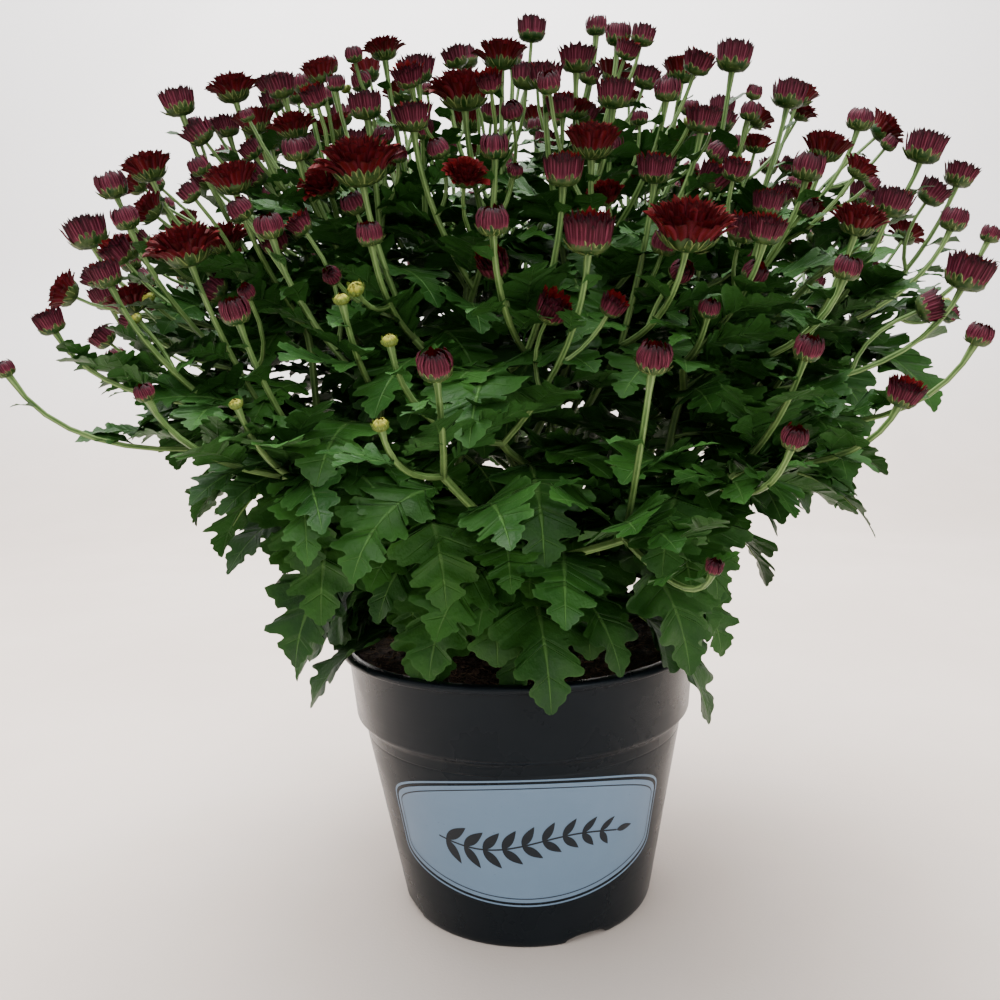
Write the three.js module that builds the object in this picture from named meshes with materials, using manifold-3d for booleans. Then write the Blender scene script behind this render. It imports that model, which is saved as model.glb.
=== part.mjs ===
// Pot chrysanthemum: a nursery pot full of soil, leafy shoots that fan out into a dome, and open blooms.
// Millimetres, +Z up. The origin is the middle of the pot's foot, on the surface that the pot stands on.
import * as THREE from 'three';
import { mergeVertices } from 'three/addons/utils/BufferGeometryUtils.js';
import Module from 'manifold-3d';

const wasm = await Module();
wasm.setup();

const clearance = 0.35; // between separate pieces
const fineness = 0.05; // slivers below this go where pieces are joined
const turn = Math.PI * 2;
const goldenAngle = 137.508;

const pot = {
  sides: 32,
  height: 144,
  rimRadius: 97.2,
  lipHeight: 4.5,
  collarTopRadius: 93.1,
  collarFootRadius: 90.2,
  collarFoot: 106,
  bodyTopRadius: 86.3,
  bodyTop: 102.5,
  baseRadius: 68.2,
  wall: 1.7,
  skirtHeight: 5,
  skirtWidth: 2.6,
  floor: 1.7,
  drainCount: 4,
  drainSides: 6,
  drainRadius: 5,
  drainRing: 42,
  notchCount: 4,
  notchWidth: 24,
  notchHeight: 4.2,
  notchBearing: -66,
};

const soil = { edge: 134, middle: 137, relief: 1.4, rings: [0.3, 0.68] };

// The dome of flowers is a spherical cap seen from its focus in the soil, a little narrower front to back.
const dome = { focus: 130, radius: 308, depthShare: 0.8, lean: 52 };

// Shoots stand in rings round the pot's middle: how many, how far out at the soil, how far they lean.
const shootRings = [
  { count: 1, foot: 2, lean: 5, bearing: -90 },
  { count: 5, foot: 13, lean: 27, bearing: -78 },
  { count: 8, foot: 26, lean: 47, bearing: -97 },
];
const shoot = {
  sides: 5,
  footRadius: 3.3,
  crownRadius: 2.4,
  crownReach: 0.38,
  buried: 26,
  rise: 45,
  nodes: 4,
};

// A shoot forks in two again and again. A fork lies further out the closer its heads stand together.
const branch = { radius: 2, closeReach: 0.82, wideReach: 0.46, wide: 17 };
const stalk = { radius: 1.5, neckRadius: 1.25, upright: 0.55, approach: 0.42 };

// Leading heads: bearing and lean in degrees, reach as a share of the dome's radius, width, stage.
const leadingHeads = [
  [-145, 32, 1.06, 16, 'cup'],
  [-142, 28, 1.05, 21, 'open'],
  [-147, 29, 1.0, 13, 'cup'],
  [-137, 29, 1.0, 19, 'open'],
  [-121, 33, 1.0, 18, 'open'],
  [-134, 21, 1.02, 10, 'bud'],
  [-131, 25, 1.01, 12, 'bud'],
  [-141, 24, 1.02, 11, 'bud'],
  [-110, 32, 1.0, 15, 'cup'],
  [-118, 36, 0.98, 12, 'bud'],
  [-123, 18, 1.03, 17, 'open'],
  [-108, 23, 1.0, 16, 'cup'],
  [-97, 28, 1.0, 27, 'open'],
  [-102, 35, 1.0, 15, 'cup'],
  [-150, 36, 1.02, 22, 'open'],
  [-154, 43, 1.0, 20, 'cup'],
  [-153, 39, 1.02, 15, 'bud'],
  [-136, 44, 1.0, 12, 'bud'],
  [-123, 40, 1.0, 21, 'open'],
  [-107, 39, 1.0, 30, 'open'],
  [-123, 47, 1.0, 26, 'open'],
  [-115, 45, 0.97, 12, 'bud'],
  [-131, 50, 1.0, 14, 'cup'],
  [-104, 46, 0.96, 11, 'bud'],
  [-91, 19, 1.01, 22, 'open'],
  [-84, 28, 1.0, 15, 'cup'],
  [-74, 21, 1.0, 16, 'cup'],
  [-59, 18, 1.03, 13, 'bud'],
  [-74, 30, 0.99, 16, 'cup'],
  [-53, 13, 1.04, 11, 'bud'],
  [-44, 21, 1.01, 20, 'open'],
  [-42, 25, 1.04, 18, 'cup'],
  [-64, 29, 0.99, 12, 'bud'],
  [-34, 29, 1.02, 17, 'cup'],
  [-32, 35, 1.03, 13, 'bud'],
  [-29, 40, 1.05, 19, 'cup'],
  [-24, 43, 1.05, 15, 'cup'],
  [-20, 48, 1.02, 10, 'bud'],
  [-31, 46, 1.0, 13, 'bud'],
  [-43, 52, 1.0, 20, 'cup'],
  [-40, 43, 0.98, 17, 'cup'],
  [-45, 37, 1.0, 21, 'open'],
  [-55, 41, 0.99, 14, 'bud'],
  [-55, 47, 1.0, 20, 'open'],
  [-63, 44, 0.97, 13, 'cup'],
  [-68, 49, 1.0, 14, 'cup'],
  [-75, 48, 1.01, 30, 'open'],
  [-84, 49, 1.0, 19, 'cup'],
  [-85, 42, 0.99, 16, 'cup'],
  [-74, 40, 0.97, 15, 'cup'],
  [-66, 36, 1.0, 14, 'cup'],
  [-80, 36, 0.98, 23, 'open'],
  [-92, 37, 0.97, 12, 'bud'],
  [-61, 52, 0.99, 11, 'bud'],
  [-68, 58, 0.98, 11, 'bud'],
  [-62, 62, 1.0, 13, 'cup'],
  [-71, 64, 0.97, 10, 'bud'],
  [-50, 58, 1.0, 11, 'bud'],
  [-92, 48, 1.0, 13, 'bud'],
  [-96, 59, 1.0, 13, 'bud'],
  [-81, 59, 1.0, 13, 'bud'],
  [-113, 54, 0.99, 12, 'bud'],
  [-136, 54, 1.0, 13, 'cup'],
  [-140, 58, 1.0, 9, 'bud'],
  [-119, 60, 0.99, 8, 'bud'],
  [-76, 71, 0.88, 7, 'bud'],
  [-100, 56, 0.97, 7, 'young'],
  [-105, 52, 0.96, 7, 'young'],
  [-100, 62, 0.97, 7, 'young'],
  [-112, 60, 0.96, 6, 'young'],
  [86, 59, 0.98, 12, 'cup'],
  [112, 57, 0.99, 13, 'bud'],
];

// The other heads follow a golden-angle spiral over the dome, kept apart from each other, more so in front.
// Those low on the dome are younger.
const otherHeads = {
  count: 200,
  spacing: 28,
  frontFrom: -40,
  front: 33,
  reach: [0.88, 1],
  lateFrom: 50,
  late: 0.25,
};
const stages = {
  young: { upTo: 0.06, widths: [6, 8] },
  bud: { upTo: 0.42, widths: [9, 13] },
  cup: { upTo: 0.8, widths: [13, 18] },
  open: { upTo: 1, widths: [19, 28] },
};

// Leaves are largest near the soil and dwindle out to the heads.
const leaf = {
  thick: 0.85,
  fold: 0.16,
  whorl: 110,
  astray: 170,
  share: 0.62,
  lobedFrom: 74,
  inner: { length: 114, width: 64, lift: 8, droop: 104 },
  outer: { length: 46, width: 24, lift: 24, droop: 78 },
};

// Half outlines as (way along, share of half the width), and the places of the midrib's points.
const lobedPlan = {
  half: [[0.24, 0.07], [0.44, 0.84], [0.53, 0.42], [0.72, 0.92], [0.8, 0.42]],
  ribs: [0.34, 0.66],
};
const smallPlan = { half: [[0.22, 0.12], [0.5, 0.9], [0.6, 0.45], [0.76, 0.75]], ribs: [0.34, 0.66] };

// ---------------------------------------------------------------- small helpers
const radians = (angle) => angle * Math.PI / 180;
const degrees = (angle) => angle * 180 / Math.PI;
const mix = (a, b, share) => a + (b - a) * share;

// A repeatable draw between 0 and 1 for a pair of numbers.
function chance(a, b) {
  const value = Math.sin(a * 12.9898 + b * 78.233 + 4.1) * 43758.5453;
  return value - Math.floor(value);
}

const vector = (x, y, z) => new THREE.Vector3(x, y, z);

function heading(bearing, lean) {
  const b = radians(bearing);
  const l = radians(lean);
  return vector(Math.sin(l) * Math.cos(b), Math.sin(l) * Math.sin(b), Math.cos(l));
}

// The point of the dome that lies a way's reach out from its focus.
function alongDome(way, reach) {
  const out = way.clone().multiplyScalar(dome.radius * reach);
  return vector(out.x, out.y * dome.depthShare, out.z + dome.focus);
}

function middleOf(points) {
  return points.reduce((sum, p) => sum.add(p), vector(0, 0, 0)).divideScalar(points.length);
}

// A curve that leaves start towards control and arrives at end from it.
function bend(start, control, end) {
  return new THREE.QuadraticBezierCurve3(start, control, end);
}

function bendSide(curve) {
  const side = curve.v1.clone().sub(curve.v0).cross(curve.v2.clone().sub(curve.v1));
  return side.lengthSq() < 1e-6 ? vector(1, 0, 0) : side.normalize();
}

// ---------------------------------------------------------------- closed surfaces
function toSolid(geometry, weld = 1e-4) {
  geometry.deleteAttribute('normal');
  geometry.deleteAttribute('uv');
  const merged = mergeVertices(geometry, weld);
  const vertProperties = merged.attributes.position.array;
  const triVerts = new Uint32Array(merged.index.array);
  return new wasm.Manifold(new wasm.Mesh({ numProp: 3, vertProperties, triVerts }));
}

function surface({ points, faces }) {
  const geometry = new THREE.BufferGeometry();
  const values = points.flatMap((p) => p.toArray());
  geometry.setAttribute('position', new THREE.Float32BufferAttribute(values, 3));
  geometry.setIndex(faces.flat());
  return geometry;
}

// A ring of points round a frame's axis.
function ring(frame, height, radius, count) {
  return Array.from({ length: count }, (_, k) => around(frame, height, radius, k / count));
}

function around(frame, height, radius, share) {
  const angle = share * turn;
  return frame.centre.clone()
    .addScaledVector(frame.along, height)
    .addScaledVector(frame.side, radius * Math.cos(angle))
    .addScaledVector(frame.across, radius * Math.sin(angle));
}

// A ring whose points are petal tips and the notches between them by turns.
function crown(frame, petals, tip, notch) {
  return Array.from({ length: petals * 2 }, (_, k) => {
    const edge = k % 2 === 0 ? tip : notch;
    return around(frame, edge.height, edge.radius, k / (petals * 2));
  });
}

// A skin holds points, and faces that name them by number. A ring on it is a list of such numbers.
function addRing(skin, points) {
  const first = skin.points.length;
  skin.points.push(...points);
  return points.map((_, k) => first + k);
}

// Joins two rings, whose counts may differ; a ring of one point is a tip.
function stitch(skin, low, high) {
  const most = Math.max(low.length, high.length);
  const pick = (loop, k) => loop[Math.round(k * loop.length / most) % loop.length];
  for (let k = 0; k < most; k++) {
    const [a0, a1, b0, b1] = [pick(low, k), pick(low, k + 1), pick(high, k), pick(high, k + 1)];
    if (a0 !== a1) skin.faces.push([a0, a1, b1]);
    if (b0 !== b1) skin.faces.push([a0, b1, b0]);
  }
}

function close(skin, loop) {
  for (let k = 1; k + 1 < loop.length; k++) skin.faces.push([loop[0], loop[k], loop[k + 1]]);
}

// Stitches a row of rings on from a first one, and returns the last.
function extend(skin, first, rings) {
  return rings.reduce((low, points) => {
    const high = addRing(skin, points);
    stitch(skin, low, high);
    return high;
  }, first);
}

function loft(rings) {
  const skin = { points: [], faces: [] };
  const first = addRing(skin, rings[0]);
  close(skin, [...first].reverse());
  close(skin, extend(skin, first, rings.slice(1)));
  return toSolid(surface(skin));
}

function frameAt(centre, along, side) {
  return { centre, along, side, across: along.clone().cross(side) };
}

// A frame whose side is turned as near as can be to a wanted way.
function frameFacing(centre, along, wanted) {
  return frameAt(centre, along, wanted.clone().addScaledVector(along, -wanted.dot(along)).normalize());
}

// ---------------------------------------------------------------- pot and soil
function lathe(profile) {
  const points = profile.map(([radius, height]) => new THREE.Vector2(radius, height));
  const geometry = new THREE.LatheGeometry(points, pot.sides);
  geometry.rotateX(Math.PI / 2);
  return toSolid(geometry);
}

function innerWall(gap) {
  const inset = pot.wall + gap;
  return [
    [pot.baseRadius - inset, pot.skirtHeight + pot.floor + gap],
    [pot.bodyTopRadius - inset, pot.bodyTop + 1 + gap],
    [pot.collarFootRadius - inset, pot.collarFoot + 1 + gap],
  ];
}

function makePot() {
  const outside = [
    [0, pot.skirtHeight],
    [pot.baseRadius - 1 - pot.skirtWidth, pot.skirtHeight],
    [pot.baseRadius - 1 - pot.skirtWidth, 0],
    [pot.baseRadius - 1, 0],
    [pot.baseRadius, 2.5],
    [pot.bodyTopRadius, pot.bodyTop],
    [pot.collarFootRadius, pot.collarFoot],
    [pot.collarTopRadius, pot.height - pot.lipHeight],
    [pot.rimRadius, pot.height - pot.lipHeight + 1],
    [pot.rimRadius, pot.height - 1],
    [pot.rimRadius - 1, pot.height],
    [pot.collarTopRadius - pot.wall, pot.height],
  ];
  const inside = innerWall(0).reverse();
  let body = lathe([...outside, ...inside, [0, pot.skirtHeight + pot.floor]]);
  for (let k = 0; k < pot.drainCount; k++) {
    const drill = new THREE.CylinderGeometry(pot.drainRadius, pot.drainRadius, 20, pot.drainSides);
    drill.rotateX(Math.PI / 2);
    drill.translate(pot.drainRing, 0, pot.skirtHeight);
    drill.rotateZ(k * turn / pot.drainCount);
    body = body.subtract(toSolid(drill));
  }
  for (let k = 0; k < pot.notchCount; k++) {
    body = body.subtract(footNotch(pot.notchBearing + k * 360 / pot.notchCount));
  }
  return body;
}

// An arch through the foot, cut along its bearing.
function footNotch(bearing) {
  const arch = new THREE.Shape();
  arch.moveTo(-pot.notchWidth / 2, -1);
  arch.lineTo(pot.notchWidth / 2, -1);
  arch.lineTo(pot.notchWidth / 2 - 1, 0.4);
  arch.quadraticCurveTo(pot.notchWidth / 3, pot.notchHeight, 0, pot.notchHeight);
  arch.quadraticCurveTo(-pot.notchWidth / 3, pot.notchHeight, 1 - pot.notchWidth / 2, 0.4);
  const cut = new THREE.ExtrudeGeometry(arch, { depth: 16, bevelEnabled: false, curveSegments: 2 });
  cut.rotateX(Math.PI / 2);
  cut.rotateZ(Math.PI / 2);
  cut.translate(pot.baseRadius - 10, 0, 0);
  cut.rotateZ(radians(bearing));
  return toSolid(cut);
}

function soilHeight(share, k) {
  return mix(soil.middle, soil.edge, share * share) + soil.relief * (chance(k, share * 10) * 2 - 1);
}

function makeSoil(holes) {
  const middle = frameAt(vector(0, 0, 0), vector(0, 0, 1), vector(1, 0, 0));
  const wall = innerWall(clearance);
  const slope = (pot.collarTopRadius - pot.collarFootRadius) / (pot.height - pot.collarFoot - 1);
  const edgeRadius = wall[2][0] + (soil.edge - wall[2][1]) * slope;
  const rings = wall.map(([radius, height]) => ring(middle, height, radius, pot.sides));
  rings.push(ring(middle, soil.edge, edgeRadius, pot.sides));
  for (const share of [...soil.rings].reverse()) {
    const bumps = ring(middle, 0, edgeRadius * share, pot.sides / 2);
    bumps.forEach((point, k) => { point.z = soilHeight(share, k); });
    rings.push(bumps);
  }
  rings.push([vector(0, 0, soil.middle)]);
  return holes.reduce((solid, hole) => solid.subtract(hole), loft(rings));
}

// ---------------------------------------------------------------- shoots, heads and leaves
function makeShoots() {
  const shoots = [];
  for (const row of shootRings) {
    for (let k = 0; k < row.count; k++) {
      const index = shoots.length;
      const bearing = row.bearing + (k + 0.3 * (chance(index, 1) - 0.5)) * 360 / row.count;
      const lean = row.lean + 5 * (chance(index, 2) - 0.5);
      const out = heading(bearing, 90);
      const foot = vector(out.x * row.foot, out.y * row.foot, soil.middle + soil.relief);
      const control = foot.clone().add(vector(0, 0, shoot.rise)).addScaledVector(out, row.foot * 0.4);
      const way = heading(bearing, lean);
      const curve = bend(foot, control, alongDome(way, shoot.crownReach));
      shoots.push({ index, bearing, lean, foot, curve, way, heads: [], leaves: [] });
    }
  }
  return shoots;
}

function stemFoot(plant, radius) {
  const frame = frameAt(plant.foot, vector(0, 0, 1), bendSide(plant.curve));
  return (height) => ring(frame, height, radius, shoot.sides);
}

// The rings of a main stem from its buried foot to below its crown.
function mainStemRings(plant) {
  const buried = stemFoot(plant, shoot.footRadius);
  const above = Array.from({ length: shoot.nodes - 1 }, (_, k) => {
    const share = (k + 1) / shoot.nodes;
    const frame = frameAt(plant.curve.getPoint(share), plant.curve.getTangent(share), bendSide(plant.curve));
    return ring(frame, 0, mix(shoot.footRadius, shoot.crownRadius, share), shoot.sides);
  });
  return [buried(-shoot.buried), buried(0), ...above];
}

function stemHole(plant) {
  const hole = stemFoot(plant, shoot.footRadius + clearance / Math.cos(Math.PI / shoot.sides));
  return loft([hole(-shoot.buried - clearance), hole(12)]);
}

function listHeads() {
  const heads = leadingHeads.map(([bearing, lean, reach, width, stage]) => {
    const way = heading(bearing, lean);
    return { way, reach, width, stage, middle: alongDome(way, reach) };
  });
  const fall = 1 - Math.cos(radians(dome.lean));
  for (let k = 0; k < otherHeads.count; k++) {
    const lean = degrees(Math.acos(1 - (k + 0.5) / otherHeads.count * fall)) + 3 * (chance(k, 5) - 0.5);
    const bearing = k * goldenAngle + 8 * (chance(k, 6) - 0.5);
    const draw = chance(k, 7) - (lean > otherHeads.lateFrom ? otherHeads.late : 0);
    const stage = Object.keys(stages).find((name) => draw < stages[name].upTo);
    const width = mix(...stages[stage].widths, chance(k, 8));
    const reach = mix(...otherHeads.reach, chance(k, 9));
    const way = heading(bearing, lean);
    const middle = alongDome(way, reach);
    const room = middle.y < otherHeads.frontFrom ? otherHeads.front : otherHeads.spacing;
    if (heads.every((other) => other.middle.distanceTo(middle) >= room)) {
      heads.push({ way, reach, width, stage, middle });
    }
  }
  return heads;
}

function shareHeads(shoots, heads) {
  for (const head of heads) {
    const near = (a, b) => (b.way.angleTo(head.way) < a.way.angleTo(head.way) ? b : a);
    shoots.reduce(near).heads.push(head);
  }
}

// Ways to bend a stem clear: how far sideways its end or bow goes, and its reach.
const stemTries = [
  [0, 1], [8, 1], [-8, 1], [0, 0.95], [0, 1.03], [14, 0.97], [-14, 0.97], [6, 0.9], [-6, 0.9],
  [22, 0.95], [-22, 0.95],
];

// Where the branch that carries some heads forks.
function forkPoint(heads, attempt) {
  const [shift, reach] = stemTries[attempt];
  const way = middleOf(heads.map((head) => head.way)).normalize();
  const spread = Math.max(...heads.map((head) => head.way.angleTo(way)));
  const share = Math.min(spread / radians(branch.wide), 1);
  const sideways = vector(-way.y, way.x, 0).normalize();
  const out = mix(branch.closeReach, branch.wideReach, share) * reach;
  return alongDome(way, out).addScaledVector(sideways, shift);
}

// A stalk meets its head along a way that leans up from the dome's own, and bows sideways.
function stalkCurve(from, head, attempt) {
  const [bow, reach] = stemTries[attempt];
  const facing = head.way.clone().lerp(vector(0, 0, 1), stalk.upright).normalize();
  const sideways = vector(-facing.y, facing.x, 0).normalize();
  const end = alongDome(head.way, head.reach * reach).addScaledVector(facing, -0.5 * head.width);
  const control = end.clone().addScaledVector(facing, -stalk.approach * end.distanceTo(from));
  control.addScaledVector(sideways, bow);
  return bend(from, control, end);
}

// Parts heads in two across the way in which they lie furthest apart.
function splitHeads(heads) {
  const pairs = heads.flatMap((a, k) => heads.slice(k + 1).map((b) => a.way.clone().sub(b.way)));
  const axis = pairs.reduce((a, b) => (b.length() > a.length() ? b : a));
  const sorted = [...heads].sort((a, b) => b.way.dot(axis) - a.way.dot(axis));
  const half = Math.ceil(sorted.length / 2);
  return [sorted.slice(0, half), sorted.slice(half)];
}

// The rings of a head above its stalk, by stage, for a head one unit wide.
const headShapes = {
  young: (ringOf) => [ringOf(0.35, 0.5, 5), ringOf(0.8, 0, 1)],
  bud: (ringOf) => [ringOf(0.3, 0.48, 5), ringOf(0.8, 0.44, 5), ringOf(0.94, 0, 1)],
  cup: (ringOf, crownOf) => [
    ringOf(0.26, 0.4, 5),
    crownOf(5, { height: 0.86, radius: 0.52 }, { height: 0.66, radius: 0.4 }),
    ringOf(0.55, 0, 1),
  ],
  open: (ringOf) => [ringOf(0.12, 0.28, 5), ringOf(0.2, 0, 1)],
};

function headRings(head, frame) {
  const ringOf = (height, radius, count) => ring(frame, height * head.width, radius * head.width, count);
  const grow = ({ height, radius }) => ({ height: height * head.width, radius: radius * head.width });
  const crownOf = (petals, tip, notch) => crown(frame, petals, grow(tip), grow(notch));
  return headShapes[head.stage](ringOf, crownOf);
}

// Petals in two tiers round a low middle, above the green cup.
function bloomSolid(head, frame) {
  const seat = 0.2 * head.width + clearance;
  const w = head.width;
  const petals = 7;
  const grow = ({ height, radius }) => ({ height: seat + height * w, radius: radius * w });
  const tier = (tip, notch) => crown(frame, petals, grow(tip), grow(notch));
  return loft([
    ring(frame, seat, 0.24 * w, 5),
    tier({ height: 0.16, radius: 0.5 }, { height: 0.11, radius: 0.33 }),
    ring(frame, seat + 0.2 * w, 0.26 * w, petals),
    tier({ height: 0.4, radius: 0.36 }, { height: 0.3, radius: 0.25 }),
    ring(frame, seat + 0.27 * w, 0.13 * w, 5),
    [around(frame, seat + 0.34 * w, 0, 0)],
  ]);
}

// A blade whose midrib bends down by droop degrees from lift at its foot to its tip.
function leafPoint(spec, along, share) {
  const b = radians(spec.bearing);
  const start = radians(spec.lift);
  const fall = radians(-spec.droop);
  const angle = start + fall * along;
  const forth = spec.length / fall * (Math.sin(angle) - Math.sin(start));
  const up = spec.length / fall * (Math.cos(start) - Math.cos(angle));
  const out = vector(Math.cos(b), Math.sin(b), 0);
  const normal = out.clone().multiplyScalar(-Math.sin(angle)).add(vector(0, 0, Math.cos(angle)));
  const sideways = vector(-Math.sin(b), Math.cos(b), 0).multiplyScalar(Math.cos(spec.roll));
  sideways.addScaledVector(normal, Math.sin(spec.roll));
  const half = spec.width / 2;
  return spec.base.clone()
    .addScaledVector(out, forth)
    .add(vector(0, 0, up))
    .addScaledVector(sideways, share * half)
    .addScaledVector(normal, leaf.fold * Math.abs(share) * half);
}

function leafNormal(spec) {
  const angle = radians(spec.lift - spec.droop / 2);
  const b = radians(spec.bearing);
  const normal = vector(-Math.sin(angle) * Math.cos(b), -Math.sin(angle) * Math.sin(b), Math.cos(angle));
  const sideways = vector(-Math.sin(b), Math.cos(b), 0);
  return normal.multiplyScalar(Math.cos(spec.roll)).addScaledVector(sideways, -Math.sin(spec.roll));
}

// A thin blade: its outline runs from the foot up the left lobes to the tip and back down the right ones, and
// both faces are split alike between the outline and the midrib's points.
function leafSolid(spec, plan) {
  const n = plan.half.length;
  const foot = 0;
  const tip = n + 1;
  const rib = (k) => 2 * n + 2 + k;
  const left = plan.half.map(([along, share]) => leafPoint(spec, along, share));
  const right = plan.half.map(([along, share]) => leafPoint(spec, along, -share)).reverse();
  const ribs = plan.ribs.map((along) => leafPoint(spec, along, 0));
  const middle = [leafPoint(spec, 0, 0), ...left, leafPoint(spec, 1, 0), ...right, ...ribs];
  const ways = [0, ...plan.half.map(([along]) => along), 1];
  const flat = [];
  for (const edge of [(k) => k, (k) => (k === foot ? foot : 2 * tip - k)]) {
    let e = 0;
    let r = 0;
    while (e < tip || r + 1 < ribs.length) {
      const alongEdge = e < tip && (r + 1 === ribs.length || ways[e + 1] <= plan.ribs[r + 1]);
      const face = [edge(e), rib(r), alongEdge ? edge(e + 1) : rib(r + 1)];
      flat.push(edge(1) === 1 ? face : face.reverse());
      if (alongEdge) e++;
      else r++;
    }
  }
  const count = middle.length;
  const offset = leafNormal(spec).multiplyScalar(leaf.thick / 2);
  const points = [...middle.map((p) => p.clone().add(offset)), ...middle.map((p) => p.clone().sub(offset))];
  const under = flat.map(([a, b, c]) => [a + count, c + count, b + count]);
  const walls = Array.from({ length: 2 * tip }, (_, a) => {
    const b = (a + 1) % (2 * tip);
    return [a, b, b + count, a, b + count, a + count];
  });
  return toSolid(surface({ points, faces: [...flat, ...under, ...walls] }));
}

// Ways to turn a leaf clear: added bearing, added lift, share of its size.
const leafTries = [
  [0, 0, 1], [22, 0, 1], [-22, 0, 1], [0, 14, 0.95], [0, -16, 0.95], [45, 6, 0.95],
  [-45, 6, 0.95], [12, 24, 0.9], [-12, -26, 0.9], [68, 0, 0.9], [-68, 0, 0.9],
  [30, -30, 0.85], [-30, 34, 0.85], [90, 16, 0.8], [-90, 16, 0.8], [0, 46, 0.75],
];

// A leaf on a stem, sized by how far out it sits, that spreads from the plant's middle.
function leafSpec(base, bearing, key, attempt) {
  const [turnBy, liftBy, grow] = leafTries[attempt];
  const out = base.distanceTo(vector(0, 0, dome.focus)) / dome.radius;
  const at = (name) => mix(leaf.inner[name], leaf.outer[name], out);
  const size = mix(0.88, 1.12, chance(key, 13)) * grow;
  return {
    base,
    bearing: bearing + turnBy,
    lift: at('lift') + 16 * (chance(key, 14) - 0.5) + liftBy,
    droop: at('droop') + 16 * (chance(key, 11) - 0.5),
    roll: radians(34 * (chance(key, 12) - 0.5)),
    length: at('length') * size,
    width: at('width') * size,
  };
}

// ---------------------------------------------------------------- putting the plant together
const placed = [];

function note(solid) {
  const entry = { solid, box: solid.boundingBox() };
  placed.push(entry);
  return entry;
}

function boxesMeet(a, b) {
  return [0, 1, 2].every((i) => a.min[i] < b.max[i] + clearance && b.min[i] < a.max[i] + clearance);
}

// True where the solid keeps its clearance to all that stands, but for what may touch it.
function isClear(solid, mayTouch) {
  const box = solid.boundingBox();
  return placed.every((other) => mayTouch(other) || !boxesMeet(box, other.box)
    || solid.minGap(other.solid, 2 * clearance) >= clearance);
}

// A straight piece of stem between two shares of the way from a to b, for the tests.
function stemPiece(a, b, from, to, radius) {
  const along = b.clone().sub(a).normalize();
  const frame = (share) => frameFacing(a.clone().lerp(b, share), along, vector(along.y, -along.x, 0.01));
  return loft([ring(frame(from), 0, radius, 4), ring(frame(to), 0, radius, 4)]);
}

// Adds a stem where it clears all but its kin near the fork that it leaves.
function settle(near, others, kin) {
  if (!isClear(near, (other) => kin.includes(other))) return null;
  if (!others.every((solid) => isClear(solid, () => false))) return null;
  return note(near);
}

function growStalk(from, head, kin) {
  for (let attempt = 0; attempt < stemTries.length; attempt++) {
    const curve = stalkCurve(from, head, attempt);
    const middle = curve.getPoint(0.5);
    const frame = frameAt(curve.v2, curve.getTangent(1), bendSide(curve));
    const near = stemPiece(from, middle, 0, 1, stalk.radius);
    const far = stemPiece(middle, curve.v2, 0, 1, stalk.radius);
    const top = loft([ring(frame, 0, stalk.neckRadius, 3), ...headRings(head, frame)]);
    const bloom = head.stage === 'open' ? [bloomSolid(head, frame)] : [];
    const settled = settle(near, [far, top, ...bloom], kin);
    if (settled) {
      blooms.push(...bloom);
      const parts = [settled, ...[far, top, ...bloom].map((solid) => note(solid))];
      return { head, curve, next: middle, parts };
    }
  }
  return null;
}

// Grows the stems from a fork out to a group of heads, as a tree of forks.
function growTree(from, heads, kin) {
  if (heads.length === 1) return growStalk(from, heads[0], kin);
  for (let attempt = 0; attempt < stemTries.length; attempt++) {
    const end = forkPoint(heads, attempt);
    const near = stemPiece(from, end, 0, 0.6, branch.radius);
    const far = stemPiece(from, end, 0.6, 1, branch.radius);
    const settled = settle(near, [far], kin);
    if (settled) {
      const parts = [settled, note(far)];
      return { end, next: end, parts, forks: growForks(end, heads, parts) };
    }
  }
  return null;
}

// Forks a stem in two; where only one side finds room, the stem runs on into that one.
function growForks(from, heads, carriers) {
  const forks = [];
  for (const group of splitHeads(heads)) {
    const kin = [...carriers, ...forks.map((fork) => fork.parts[0])];
    const tree = growTree(from, group, kin);
    if (tree) forks.push(tree);
  }
  return forks;
}

function growLeaf(plant, parents, base, bearing, key) {
  for (let attempt = 0; attempt < leafTries.length; attempt++) {
    const spec = leafSpec(base, bearing, key, attempt);
    const solid = leafSolid(spec, spec.length < leaf.lobedFrom ? smallPlan : lobedPlan);
    if (!isClear(solid, (other) => parents.includes(other))) continue;
    note(solid);
    plant.leaves.push(solid);
    return;
  }
}

// Turns a ring so that it starts at the corner that faces a wanted way.
function startFacing(loop, skin, wanted) {
  const middle = middleOf(loop.map((k) => skin.points[k]));
  const facing = (k) => skin.points[k].clone().sub(middle).dot(wanted);
  const at = loop.indexOf(loop.reduce((a, b) => (facing(b) > facing(a) ? b : a)));
  return [...loop.slice(at), ...loop.slice(0, at)];
}

// Skins a stem and all that it carries, on from the ring that it leaves.
function skinTree(skin, first, tree, from) {
  const wanted = skin.points[first[0]].clone().sub(middleOf(first.map((k) => skin.points[k]))).normalize();
  if (tree.head) {
    const along = tree.curve.v2.clone().sub(from).normalize();
    const middle = ring(frameFacing(tree.next, along, wanted), 0, stalk.radius, 3);
    const top = frameFacing(tree.curve.v2, tree.curve.getTangent(1), wanted);
    extend(skin, first, [middle, ring(top, 0, stalk.neckRadius, 3), ...headRings(tree.head, top)]);
  } else {
    skinForks(skin, first, tree, from, branch.radius);
  }
}

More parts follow.
